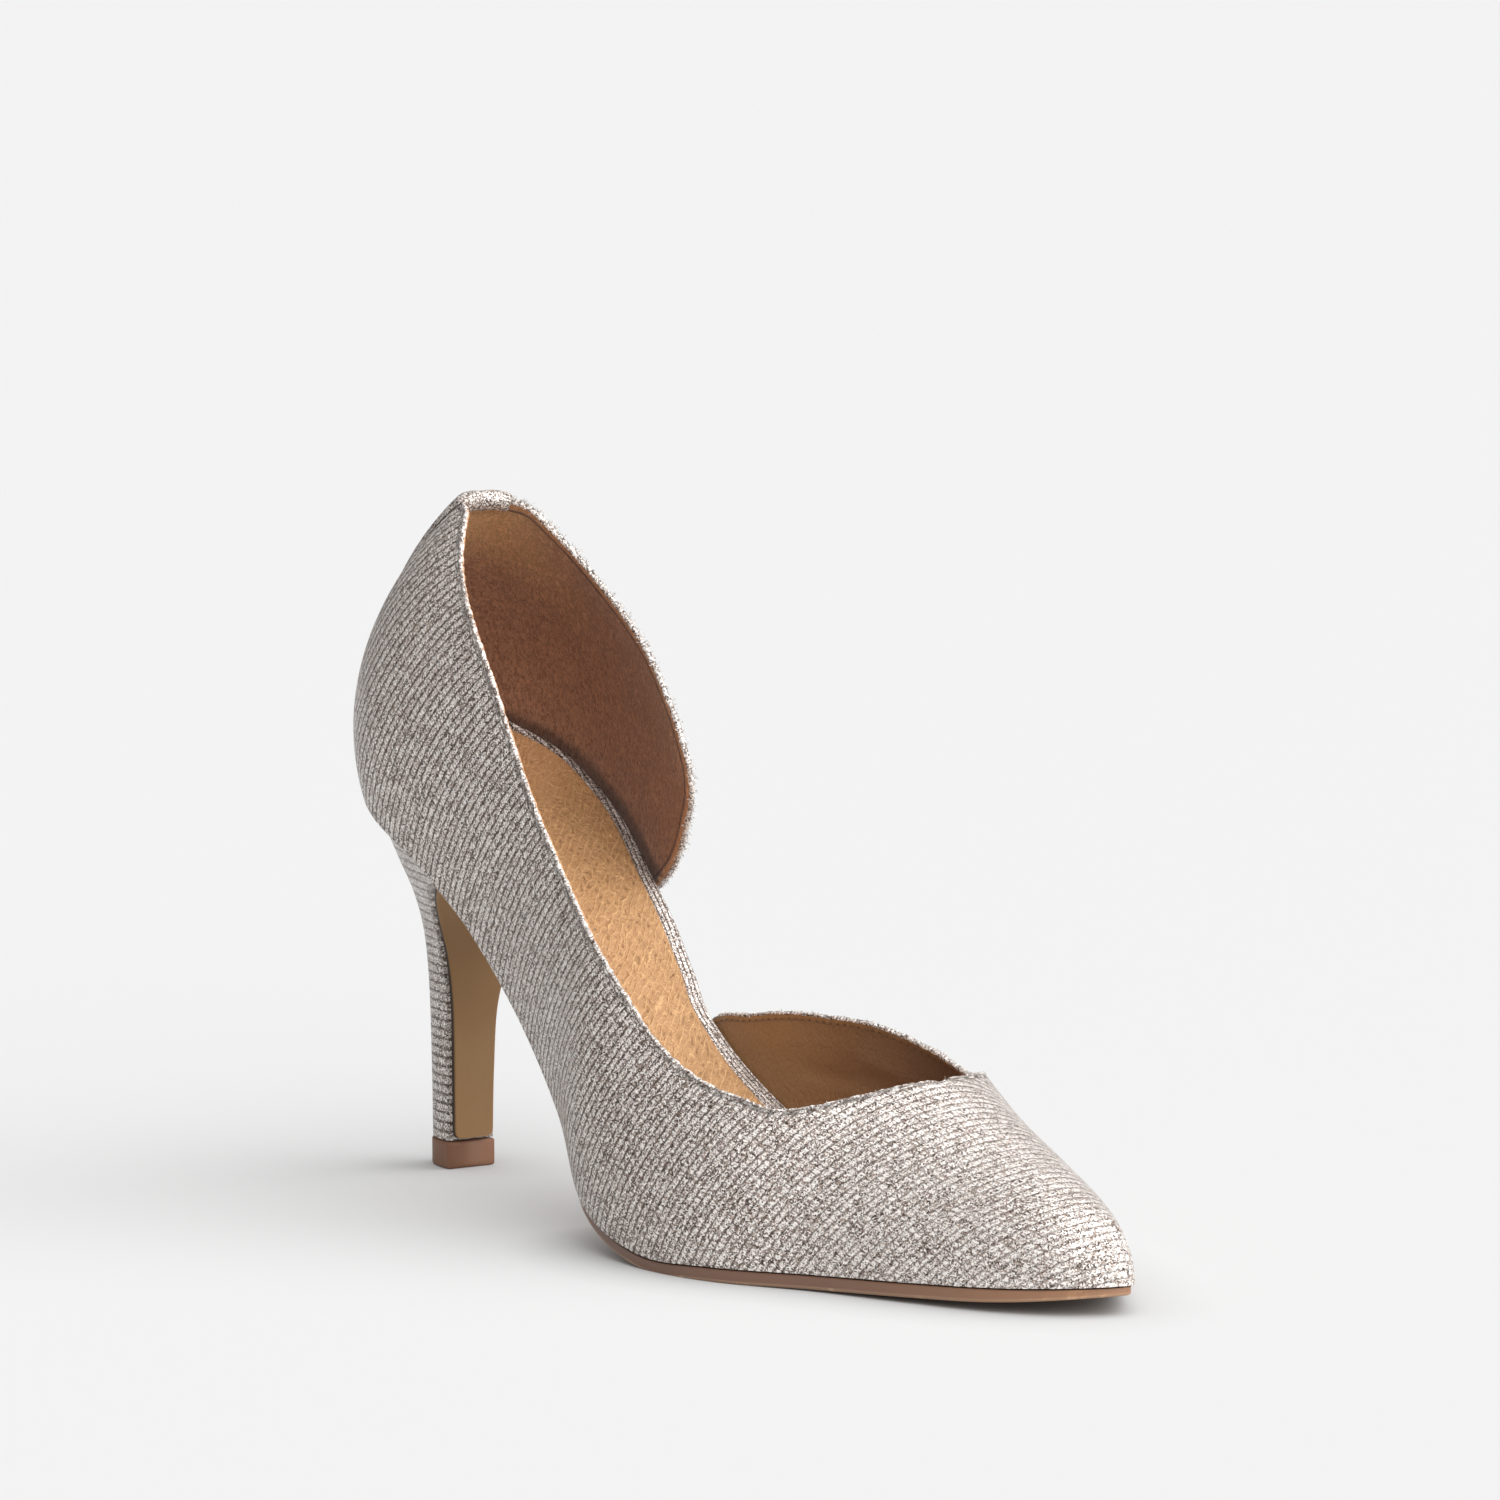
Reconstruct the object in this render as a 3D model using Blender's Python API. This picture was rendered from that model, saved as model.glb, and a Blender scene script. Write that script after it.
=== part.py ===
"""Half d'Orsay stiletto pump for the right foot.

The toe points to +X, the outer (lateral) side of the foot to -Y, the inner (medial) side to +Y.
Lengths are millimetres until a mesh is written. The floor is z = 0.
"""
import bmesh
import bpy
import numpy as np

MM = 0.001

# Driving sizes of the last
LENGTH = 233.5
HEEL_HEIGHT = 80.5
BALL_WIDTH = 75.5
INSTEP = 77.0

# Thicknesses and clearances
WALL = 1.8
GAP = 0.3
# Towards the tip of the toe, between these two sections, the ridge thins by this share.
NOSE = (14.0, 15.0)
NOSE_THIN = 0.45
SOLE = 2.5
WAIST_SOLE = 1.8
# The sole grows from its waist thickness to the full one between these two sections.
SOLE_THICKENS = (7.6, 9.4)
SOLE_BEVEL = 0.5
INSOLE = 3.8
INSOLE_BEVEL = 0.8
WIDEST_BEVEL = 0.9
SOCK = 1.2
STAY = 1.0
COVER = 1.0
TIP = 5.5

# One row for each section of the last, from the back of the heel to the tip of the toe.
# along: percent of LENGTH. rise: feather edge above the floor, percent of HEEL_HEIGHT.
# mid, lateral, medial: centre line and half widths of the feather edge, percent of BALL_WIDTH.
# ridge: height of the section over its feather edge, percent of INSTEP.
# swell, low, crown: how far the side swells past the feather edge, how high it stays upright,
# and how broad it is under the ridge, as shares of the half width or the height.
SECTION = ("along", "rise", "mid", "lateral", "medial", "ridge", "swell", "low", "crown")
SECTIONS = (
    (0.0, 100.0, 2.0, 0.0, 0.0, 86.4, 0.13, 0.44, 0.20),
    (1.7, 98.9, 2.0, 15.9, 16.7, 86.4, 0.13, 0.44, 0.20),
    (5.4, 95.7, 2.4, 27.0, 28.1, 86.4, 0.14, 0.44, 0.22),
    (11.1, 90.2, 2.6, 33.4, 34.4, 87.0, 0.20, 0.44, 0.35),
    (18.8, 81.5, 2.6, 34.4, 33.8, 89.6, 0.20, 0.44, 0.56),
    (26.6, 67.7, 1.3, 32.5, 30.5, 94.8, 0.18, 0.44, 0.72),
    (34.7, 48.4, 0.0, 31.8, 25.2, 100.0, 0.18, 0.40, 0.80),
    (43.3, 28.6, 0.0, 37.1, 26.5, 100.0, 0.16, 0.36, 0.76),
    (51.8, 10.9, 1.3, 48.5, 35.8, 90.9, 0.13, 0.34, 0.70),
    (60.8, 3.4, 2.6, 52.2, 49.0, 76.6, 0.10, 0.34, 0.62),
    (69.0, 3.4, 4.0, 49.4, 47.7, 60.4, 0.08, 0.36, 0.56),
    (77.1, 3.9, 5.3, 38.4, 41.1, 44.6, 0.08, 0.40, 0.46),
    (85.7, 4.8, 7.3, 30.5, 30.5, 31.2, 0.08, 0.45, 0.46),
    (92.5, 5.7, 6.6, 21.2, 20.5, 23.4, 0.08, 0.50, 0.54),
    (97.6, 6.6, 7.4, 10.7, 9.5, 18.2, 0.10, 0.55, 0.66),
    (100.0, 7.0, 10.3, 0.0, 0.0, 14.3, 0.10, 0.55, 0.66),
)
TOE = len(SECTIONS) - 1.0

# In side view the back seam is furthest back at BULGE above the feather edge, and curves forward
# below and above it.
BULGE = 16.5
CURVE_BELOW = 0.0223
CURVE_ABOVE = 0.0186
BACK_REACH = 60.0
# The nose of the toe leans back by TOE_LEAN at its top.
TOE_LEAN = 4.5
TOE_REACH = 24.0

# Edges of the upper: section number, and share of the way up that section's curve.
LATERAL_TOPLINE = (
    (0.0, 0.660), (1.5, 0.680), (3.0, 0.712), (3.9, 0.630), (5.0, 0.523), (6.2, 0.432), (7.0, 0.432),
    (8.0, 0.490), (9.0, 0.478), (9.9, 0.496), (10.3, 0.522), (10.65, 0.628), (10.87, 0.745),
    (11.0, 0.860), (11.1, 1.0),
)
WING_TOPLINE = (
    (6.26, 0.0), (6.40, 0.040), (6.8, 0.122), (7.75, 0.308), (8.2, 0.377), (9.0, 0.430), (9.6, 0.452),
    (9.96, 0.507), (10.4, 0.605), (10.75, 0.730), (10.98, 0.865), (11.1, 1.0),
)
QUARTER_TOPLINE = (
    (0.0, 0.660), (1.5, 0.680), (3.0, 0.712), (3.5, 0.680), (4.2, 0.618), (5.0, 0.580), (5.5, 0.560),
    (5.8, 0.536),
)
# Front edge of the medial quarter: share of its height, and section number.
QUARTER_FRONT = (
    (0.0, 4.72), (0.10, 4.82), (0.22, 5.10), (0.41, 5.46), (0.56, 5.71), (0.75, 5.95), (0.87, 5.97),
    (1.0, 5.80),
)
THROAT = LATERAL_TOPLINE[-1][0]
WING_END = WING_TOPLINE[0][0]
# Below this share of the way up, the wall's thickness turns level with the feather edge.
EDGE_BLEND = 0.05

# How far the insole's rim is cupped up along the wall around the heel: section number, and height.
HEEL_CUP = ((0.0, 7.5), (1.6, 7.0), (2.6, 5.0), (3.6, 2.2), (4.6, 0.4), (5.4, 0.0), (TOE, 0.0))
# The cup deepens from the back rim to this section, and is flat in the middle.
CUP_END = 2.2
CUP_FLATNESS = 3
# Bare margin of the insole beside the sock on the medial side: section number, and width.
MARGIN = (
    (0.0, 0.6), (2.8, 0.6), (4.4, 2.4), (5.2, 3.2), (6.4, 2.8), (7.2, 4.6), (8.4, 5.6), (9.5, 4.0),
    (11.0, 2.0), (TOE, 1.0),
)
LATERAL_MARGIN = 0.6
# Where the open waist lets the insole reach out to the feather edge: start and end of both ramps.
WAIST_OUT = (4.86, 5.10)
WAIST_IN = (5.90, 6.20)
# How far the sole stands out past the feather edge: section number, and distance.
SOLE_EDGE = ((4.0, -1.6), (7.2, -1.5), (9.0, -0.2), (12.5, 0.0), (14.2, -0.5), (TOE, -0.9))
SOCK_ENDS = (0.22, 13.7)

# The heel, from its tip up to the seat. back, breast: where the section starts and ends along X.
# back_z, breast_z: heights of those two ends. mid, half: centre line and half width.
HEEL = ("back", "back_z", "breast", "breast_z", "mid", "half")
HEEL_ROWS = (
    (16.2, TIP + GAP, 27.0, TIP + GAP, 0.0, 5.3),
    (16.0, 20.0, 27.2, 20.0, 0.0, 5.5),
    (15.8, 36.0, 27.9, 34.0, 0.0, 6.2),
    (16.0, 49.0, 29.8, 44.0, 0.2, 8.7),
    (15.6, 59.5, 33.6, 52.0, 0.7, 13.4),
    (12.2, 68.5, 40.2, 58.0, 1.3, 19.0),
    (7.6, 77.0, 47.4, 61.8, 1.9, 23.6),
)
HEEL_ROUND = 2.3
SEAT = 4.27
SEAT_INSET = 0.3
SEAT_CLEAR = 0.03
COVER_MARGIN = 0.7
COVER_CORNER = 1.6
COVER_FOOT = 0.4
TIP_BEVEL = 0.5
TIP_GROW = 0.2

# The stay over the back seam. STAY_REACH is a section that lies past its sides.
STAY_HALF = 6.0
STAY_LENGTH = 27.0
STAY_FOLD = 2.5
STAY_REACH = 2.4

# Mesh density. From THROAT_START on, columns draw closer together towards the throat.
THROAT_START = 9.5
THROAT_CROWDING = 1.6
COLUMNS_SIDE = 38
COLUMNS_WING = 14
COLUMNS_THROAT = 10
COLUMNS_TOE = 16
COLUMNS_QUARTER = 22
ROWS_SIDE = 9
ACROSS = 10
STAY_ROWS = 9
STAY_ACROSS = 8
HEEL_POINTS = 25
HEEL_STEPS = np.linspace(0, len(HEEL_ROWS) - 1.0, 25)
COVER_FOOT_STEPS = 8
SAMPLES = 60
LOW_SHARES = np.linspace(0, 0.4, 81)
# Spans of the insole and of the sole: first section, last section, and steps between them.
BED_SPANS = ((0.0, 1.0, 4), (1.0, 4.8, 11), (4.8, 6.4, 14), (6.4, 14.0, 18), (14.0, TOE, 4))
SOLE_SPANS = ((SEAT + SEAT_CLEAR, 8.0, 15), (8.0, 14.0, 31), (14.0, TOE, 5))
# Metres within which corners are merged and slivers dissolved, and the angle that shades as an edge.
MERGE = 0.00001
SLIVER = 0.000005
SHARP_ANGLE = 0.7
# Step in section number or share for slopes, and the run below which the bottom counts as level.
STEP = 1e-3
LEVEL_RUN = 1e-6

# Materials
KNIT = dict(colour=(0.48, 0.43, 0.40), roughness=0.42, metallic=0.35)
SOCK_LEATHER = dict(colour=(0.60, 0.34, 0.14), roughness=0.50)
SOLE_LEATHER = dict(colour=(0.19, 0.10, 0.065), roughness=0.35)
COVER_LEATHER = dict(colour=(0.20, 0.125, 0.058), roughness=0.60)
TIP_RUBBER = dict(colour=(0.17, 0.085, 0.055), roughness=0.55)


def stations_of(spans):
    """Section numbers from the first span's start to the last one's end."""
    parts = [np.linspace(start, end, steps + 1)[:-1] for start, end, steps in spans]
    return np.append(np.concatenate(parts), spans[-1][1])


def spline(table, at):
    """Smooth curve through (position, value) rows."""
    knots = np.array(table, float)
    x, y = knots[:, 0], knots[:, 1]
    slope = np.gradient(y, x)
    at = np.clip(np.asarray(at, float), x[0], x[-1])
    k = np.clip(np.searchsorted(x, at) - 1, 0, len(x) - 2)
    width = x[k + 1] - x[k]
    t = (at - x[k]) / width
    return hermite(t, y[k], y[k + 1], slope[k] * width, slope[k + 1] * width)


def hermite(t, start, end, start_slope, end_slope):
    square, cube = t * t, t * t * t
    return ((2 * cube - 3 * square + 1) * start + (cube - 2 * square + t) * start_slope
            + (3 * square - 2 * cube) * end + (cube - square) * end_slope)


def ramp(at, start, end):
    """Smooth step from 0 to 1."""
    t = np.clip((np.asarray(at, float) - start) / (end - start), 0, 1)
    return t * t * (3 - 2 * t)


def through_rows(rows, at, odd=()):
    """Values of each column at a row number that may lie between rows.

    The rows continue past both ends as a mirror image, so that ends are round;
    the columns in odd change sign there.
    """
    table = np.array(rows, float)
    sign = np.ones(table.shape[1])
    sign[list(odd)] = -1.0
    table = np.vstack([table[1] * sign, table, table[-2] * sign])
    at = np.asarray(at, float)
    k = np.clip(np.floor(at).astype(int), 0, len(rows) - 2)
    t = (at - k)[..., None]
    before, start, end, after = table[k], table[k + 1], table[k + 2], table[k + 3]
    return hermite(t, start, end, (end - before) / 2, (after - start) / 2)


def section(s):
    """Columns of the last's section at row number s, in millimetres."""
    odd = (SECTION.index("lateral"), SECTION.index("medial"))
    values = through_rows(SECTIONS, s, odd)
    scale = (LENGTH / 100, HEEL_HEIGHT / 100, BALL_WIDTH / 100, BALL_WIDTH / 100, BALL_WIDTH / 100,
             INSTEP / 100, 1.0, 1.0, 1.0)
    return {name: values[..., i] * scale[i] for i, name in enumerate(SECTION)}


def last(s, v, side):
    """Point of the outer surface: v = 0 on the feather edge and 1 on the ridge, side -1 lateral."""
    s, v = np.broadcast_arrays(np.asarray(s, float), np.asarray(v, float))
    row = section(s)
    half = row["lateral"] if side < 0 else row["medial"]
    near, low, high, top = (1 - v) ** 3, 3 * v * (1 - v) ** 2, 3 * v * v * (1 - v), v ** 3
    y = row["mid"] + side * half * (near + low * (1 + row["swell"]) + high * row["crown"])
    height = row["ridge"] * (low * row["low"] + high + top)
    back = np.clip(1 - row["along"] / BACK_REACH, 0, 1) ** 2
    nose = np.clip(1 - (LENGTH - row["along"]) / TOE_REACH, 0, 1) ** 2
    toe_height = SECTIONS[-1][SECTION.index("ridge")] * INSTEP / 100
    curve = np.where(height < BULGE, CURVE_BELOW, CURVE_ABOVE)
    x = row["along"] + back * curve * (height - BULGE) ** 2 - nose * TOE_LEAN * (height / toe_height) ** 2
    return np.stack([x, y, row["rise"] + height], -1)


def unit(vectors):
    return vectors / np.linalg.norm(vectors, axis=-1, keepdims=True)


def along_foot(s, v, side):
    return last(np.asarray(s) + STEP, v, side) - last(np.asarray(s) - STEP, v, side)


def up_wall(s, v, side):
    return unit(last(s, np.asarray(v) + STEP, side) - last(s, np.asarray(v) - STEP, side))


def outward(s, v, side):
    """Unit normal of the outer surface, away from the foot."""
    return unit(np.cross(along_foot(s, v, side), up_wall(s, v, side))) * -side


def bottom_normal(s):
    """Upward unit normal of the bottom, which is straight from side to side."""
    ahead, behind = section(np.asarray(s) + STEP), section(np.asarray(s) - STEP)
    run, rise = ahead["along"] - behind["along"], ahead["rise"] - behind["rise"]
    flat = np.abs(run) < LEVEL_RUN
    slope = np.where(flat, 0.0, rise / np.where(flat, 1.0, run))
    return unit(np.stack([-slope, 0 * slope, 1 + 0 * slope], -1))


def skin(s, v, side, depth):
    """Point at a depth inside the outer surface; on the feather edge it stays level with the edge."""
    s, v = np.broadcast_arrays(np.asarray(s, float), np.asarray(v, float))
    normal = outward(s, v, side)
    under = bottom_normal(s)
    level = unit(normal - under * np.sum(normal * under, -1, keepdims=True))
    at_edge = np.clip(1 - v / EDGE_BLEND, 0, 1)[..., None]
    way = unit(level * at_edge + normal * (1 - at_edge))
    return last(s, v, side) - np.asarray(depth, float)[..., None] * way


def share_at_height(s, height, side):
    """Share of the way up the section's curve at which it is so high over the feather edge."""
    found = []
    for station, wanted in zip(np.atleast_1d(s), np.atleast_1d(height)):
        row_height = last(station, LOW_SHARES, side)[:, 2] - section(station)["rise"]
        found.append(np.interp(wanted, row_height, LOW_SHARES))
    return np.array(found)


def feather(s, side, outset, lift):
    """Feather edge moved outwards in the plane of the bottom, and lifted off that plane."""
    s = np.asarray(s, float)
    return skin(s, 0 * s, side, -outset) + bottom_normal(s) * np.asarray(lift)[..., None]


def make_solid(name, vertices, faces, material):
    """Closed mesh object from points in millimetres."""
    mesh = bpy.data.meshes.new(name)
    work = bmesh.new()
    corners = [work.verts.new(np.asarray(point) * MM) for point in vertices]
    for face in faces:
        if len(set(face)) > 2:
            work.faces.new([corners[i] for i in face])
    bmesh.ops.remove_doubles(work, verts=work.verts, dist=MERGE)
    bmesh.ops.dissolve_degenerate(work, edges=work.edges, dist=SLIVER)
    bmesh.ops.recalc_face_normals(work, faces=work.faces)
    bmesh.ops.triangulate(work, faces=work.faces)
    work.to_mesh(mesh)
    work.free()
    mesh.shade_smooth()
    mesh.set_sharp_from_angle(angle=SHARP_ANGLE)
    mesh.materials.append(material)
    item = bpy.data.objects.new(name, mesh)
    bpy.context.scene.collection.objects.link(item)
    return item


def make_material(name, colour, roughness, metallic=0.0):
    material = bpy.data.materials.new(name)
    material.use_nodes = True
    shader = material.node_tree.nodes["Principled BSDF"]
    shader.inputs["Base Color"].default_value = (*colour, 1.0)
    shader.inputs["Roughness"].default_value = roughness
    shader.inputs["Metallic"].default_value = metallic
    return material


def loft(loops):
    """Vertices and faces of a solid through closed loops of equal length, with caps at both ends.

    Each loop runs out along one side and back along the other, so a cap joins point i
    to point n - 1 - i with straight strips.
    """
    count = len(loops[0])
    vertices = np.concatenate(loops)
    faces = []
    for k in range(len(loops) - 1):
        for i in range(count):
            j = (i + 1) % count
            faces.append((k * count + i, k * count + j, (k + 1) * count + j, (k + 1) * count + i))
    for k in (0, len(loops) - 1):
        for i in range(count // 2 - 1):
            a, b = k * count + i, k * count + count - 1 - i
            faces.append((a, a + 1, b - 1, b))
        if count % 2:
            middle = k * count + count // 2
            faces.append((middle - 1, middle, middle + 1))
    return vertices, faces


def there_and_back(lateral, medial):
    return np.concatenate([lateral, medial[::-1]])


# The upper


class Sheet:
    """Outer surface made of patches; closing it adds the inner surface and the rims."""

    def __init__(self):
        self.index = {}
        self.outer = []
        self.inner = []
        self.faces = []

    def corner(self, outer, inner):
        key = tuple(np.round(outer, 4) + 0.0)
        if key not in self.index:
            self.index[key] = len(self.outer)
            self.outer.append(outer)
            self.inner.append(inner)
        return self.index[key]

    def add_patch(self, stations, shares, side):
        outer = last(stations, shares, side)
        inner = skin(stations, shares, side, WALL * (1 - NOSE_THIN * ramp(stations, *NOSE) * shares ** 2))
        grid = [[self.corner(outer[i, j], inner[i, j]) for j in range(outer.shape[1])]
                for i in range(outer.shape[0])]
        for i in range(len(grid) - 1):
            for j in range(len(grid[0]) - 1):
                a, b, c, d = grid[i][j], grid[i + 1][j], grid[i + 1][j + 1], grid[i][j + 1]
                for face in ((a, b, c), (a, c, d)):
                    if len(set(face)) == 3:
                        self.faces.append(face if side < 0 else face[::-1])

    def close(self):
        count = len(self.outer)
        vertices = self.outer + self.inner
        faces = [tuple(face) for face in self.faces]
        faces += [tuple(c + count for c in reversed(face)) for face in self.faces]
        edges = {}
        for face in self.faces:
            for k, c in enumerate(face):
                edges.setdefault(frozenset((c, face[k - 1])), []).append((face[k - 1], c))
        for uses in edges.values():
            if len(uses) == 1:
                a, b = uses[0]
                faces.append((b, a, a + count, b + count))
        return vertices, faces


def spread(stations, edge):
    """Grid of stations and shares from the feather edge up to an edge line."""
    steps = np.linspace(0, 1, ROWS_SIDE + 1)
    return np.repeat(stations[:, None], len(steps), 1), edge[:, None] * steps[None, :]


def toward_throat(start, count):
    """Stations that draw closer together towards the throat."""
    share = np.linspace(0, 1, count + 1)
    return start + (THROAT - start) * (1 - (1 - share) ** THROAT_CROWDING)


def make_upper(material):
    sheet = Sheet()
    near_throat = toward_throat(THROAT_START, COLUMNS_THROAT)
    lateral = np.concatenate([np.linspace(0, THROAT_START, COLUMNS_SIDE + 1)[:-1], near_throat])
    sheet.add_patch(*spread(lateral, spline(LATERAL_TOPLINE, lateral)), -1)
    wing = np.concatenate([np.linspace(WING_END, THROAT_START, COLUMNS_WING + 1)[:-1], near_throat])
    sheet.add_patch(*spread(wing, spline(WING_TOPLINE, wing)), 1)
    toe = np.linspace(THROAT, TOE, COLUMNS_TOE + 1)
    for way in (-1, 1):
        sheet.add_patch(*spread(toe, np.ones_like(toe)), way)
    front = QUARTER_TOPLINE[-1][0]
    share_along = np.linspace(0, 1, COLUMNS_QUARTER + 1)
    share_up = np.linspace(0, 1, ROWS_SIDE + 1)
    stations = share_along[:, None] * spline(QUARTER_FRONT, share_up)[None, :]
    shares = spline(QUARTER_TOPLINE, share_along * front)[:, None] * share_up[None, :]
    sheet.add_patch(stations, shares, 1)
    return make_solid("upper", *sheet.close(), material)


def make_back_stay(material):
    """Strip over the back seam, from low on the seam up over the topline and a little way inside."""
    top = LATERAL_TOPLINE[0][1]
    seam = np.linspace(0, top, SAMPLES)
    climb = np.linalg.norm(np.diff(last(0.0, seam, -1), axis=0), axis=1)
    down = np.append(np.cumsum(climb[::-1])[::-1], 0)
    foot = np.interp(STAY_LENGTH, down[::-1], seam[::-1])
    fold = np.interp(STAY_FOLD, down[::-1], seam[::-1])
    shares = np.linspace(foot, top, STAY_ROWS)
    trial = np.linspace(0, STAY_REACH, SAMPLES)
    strips = []
    for across in np.linspace(-1, 1, STAY_ACROSS + 1):
        side = -1 if across < 0 else 1
        width = np.abs(last(trial[None, :], shares[:, None], side)[..., 1]
                       - section(trial)["mid"][None, :])
        station = np.array([np.interp(abs(across) * STAY_HALF, row, trial) for row in width])
        edge = spline(LATERAL_TOPLINE if side < 0 else QUARTER_TOPLINE, station[-1])
        rise = foot + (shares - foot) * (edge - foot) / (top - foot)
        normal = outward(station, rise, side)
        tip = up_wall(station[-1], edge, side)
        inside = skin(station[-1], edge, side, WALL)
        inside_low = skin(station[-1], edge - (top - fold), side, WALL)
        base = np.vstack([last(station, rise, side), inside, inside_low])
        way = np.vstack([normal[:-1], normal[-1] + tip, tip - normal[-1], -normal[-1]])
        strips.append(np.concatenate([base + way * (GAP + STAY), (base + way * GAP)[::-1]]))
    vertices, faces = loft(strips)
    return make_solid("back_stay", vertices, faces, material)


# The bottom


def insole_depth(s, side):
    """Depth of the insole's edge inside the outer surface: clear of the wall where there is one."""
    bare = ramp(s, *WAIST_OUT) - ramp(s, *WAIST_IN)
    return WALL + GAP - (bare * WALL if side > 0 else 0.0)


def rim(s, side, lift):
    """Edge of the insole beside the inner wall, at a height over the feather edge."""
    s = np.asarray(s, float)
    height = lift + spline(HEEL_CUP, s)
    return skin(s, share_at_height(s, height, side), side, insole_depth(s, side))


def footbed(s, across, lift):
    """Point of the insole's top: across runs from -1, lateral, to 1, medial; lift is over that top."""
    t = (across + 1) / 2
    sag = spline(HEEL_CUP, s) * (1 - np.abs(across) ** CUP_FLATNESS) * ramp(s, 0, CUP_END)
    chord = rim(s, -1, INSOLE) * (1 - t)[:, None] + rim(s, 1, INSOLE) * t[:, None]
    return chord + bottom_normal(s) * (lift - sag)[:, None]


def grid_cap(first, rows, count):
    """Faces of a grid of points that starts at vertex first."""
    faces = []
    for i in range(rows - 1):
        for j in range(count - 1):
            a = first + i * count + j
            faces.append((a, a + 1, a + count + 1, a + count))
    return faces


def make_insole(material):
    s = stations_of(BED_SPANS)
    width = np.linalg.norm(rim(s, 1, INSOLE) - rim(s, -1, INSOLE), axis=1) / 2
    bevel = np.minimum(INSOLE_BEVEL / np.maximum(width, INSOLE_BEVEL), WIDEST_BEVEL)
    low = [skin(s, 0 * s, side, insole_depth(s, side)) for side in (-1, 1)]
    high = [rim(s, side, INSOLE - INSOLE_BEVEL) for side in (-1, 1)]
    top = [footbed(s, (1 - bevel) * w, 0 * s) for w in np.linspace(-1, 1, ACROSS + 1)]
    loops = [there_and_back(*low), there_and_back(*high), there_and_back(top[0], top[-1])]
    vertices, faces = loft(loops)
    cap = len(s) - 1
    faces = faces[:-cap]
    grid = np.stack(top, 1)
    first = len(vertices)
    vertices = np.concatenate([vertices, grid.reshape(-1, 3)])
    faces += grid_cap(first, len(s), ACROSS + 1)
    return make_solid("insole", vertices, faces, material)


def make_sock(material):
    s = stations_of(BED_SPANS)
    s = s[(s > SOCK_ENDS[0]) & (s < SOCK_ENDS[1])]
    chord = rim(s, 1, INSOLE) - rim(s, -1, INSOLE)
    width = np.linalg.norm(chord, axis=1) / 2
    top = INSOLE + GAP + SOCK
    lean = [np.sum((rim(s, side, top) - rim(s, side, INSOLE)) * unit(chord), 1) * -side for side in (-1, 1)]
    start = -1 + (LATERAL_MARGIN + np.maximum(lean[0], 0)) / width
    end = 1 - (spline(MARGIN, s) + np.maximum(lean[1], 0)) / width
    share = np.linspace(0, 1, ACROSS + 1)
    under = np.stack([footbed(s, start + (end - start) * t, 0 * s + GAP) for t in share], 1)
    over = np.stack([footbed(s, start + (end - start) * t, 0 * s + GAP + SOCK) for t in share], 1)
    count = ACROSS + 1
    total = len(s) * count
    vertices = np.concatenate([under.reshape(-1, 3), over.reshape(-1, 3)])
    faces = grid_cap(0, len(s), count) + grid_cap(total, len(s), count)
    ring = [i * count for i in range(len(s))]
    ring += [(len(s) - 1) * count + j for j in range(1, count)]
    ring += [i * count + count - 1 for i in range(len(s) - 2, -1, -1)]
    ring += [j for j in range(count - 2, 0, -1)]
    for k, a in enumerate(ring):
        b = ring[k - 1]
        faces.append((a, b, b + total, a + total))
    return make_solid("sock", vertices, faces, material)


def make_outsole(material):
    """Sole from the heel breast to the toe, thin and set in at the waist, flat under the ball."""
    s = stations_of(SOLE_SPANS)
    thick = WAIST_SOLE + (SOLE - WAIST_SOLE) * ramp(s, *SOLE_THICKENS)
    outset = spline(SOLE_EDGE, s)
    loops = []
    for lift, inset in ((-GAP - thick, SOLE_BEVEL), (-GAP - thick + SOLE_BEVEL, 0.0), (-GAP + 0 * s, 0.0)):
        sides = []
        for side in (-1, 1):
            edge = np.array([feather(a, side, b - inset, c) for a, b, c in zip(s, outset, lift)])
            edge[:, 2] = np.maximum(edge[:, 2], 0.0)
            sides.append(edge)
        loops.append(there_and_back(*sides))
    return make_solid("outsole", *loft(loops), material)


# The heel


def heel_row(t):
    values = through_rows(HEEL_ROWS, t)
    return {name: values[..., i] for i, name in enumerate(HEEL)}


def d_loop(row, points, grow=0.0):
    """D-shaped section: round at the back, straight across the breast."""
    angle = np.linspace(-np.pi / 2, np.pi / 2, points)
    forward = 1 - np.abs(np.cos(angle)) ** (2 / HEEL_ROUND)
    sideways = np.sign(angle) * np.abs(np.sin(angle)) ** (2 / HEEL_ROUND)
    depth = row["breast"] - row["back"] + 2 * grow
    x = row["back"] - grow + depth * forward
    z = row["back_z"] + (row["breast_z"] - row["back_z"]) * forward
    y = row["mid"] + (row["half"] + grow) * sideways
    return np.stack([x, y, z], -1)


def make_heel(material):
    loops = [d_loop(heel_row(t), HEEL_POINTS) for t in HEEL_STEPS]
    way = np.linspace(-1, 1, HEEL_POINTS)
    seat = np.array([feather(abs(w) * SEAT, -1 if w < 0 else 1, -SEAT_INSET, -GAP) for w in way])
    loops.append(seat)
    return make_solid("heel", *loft(loops), material)


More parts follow.
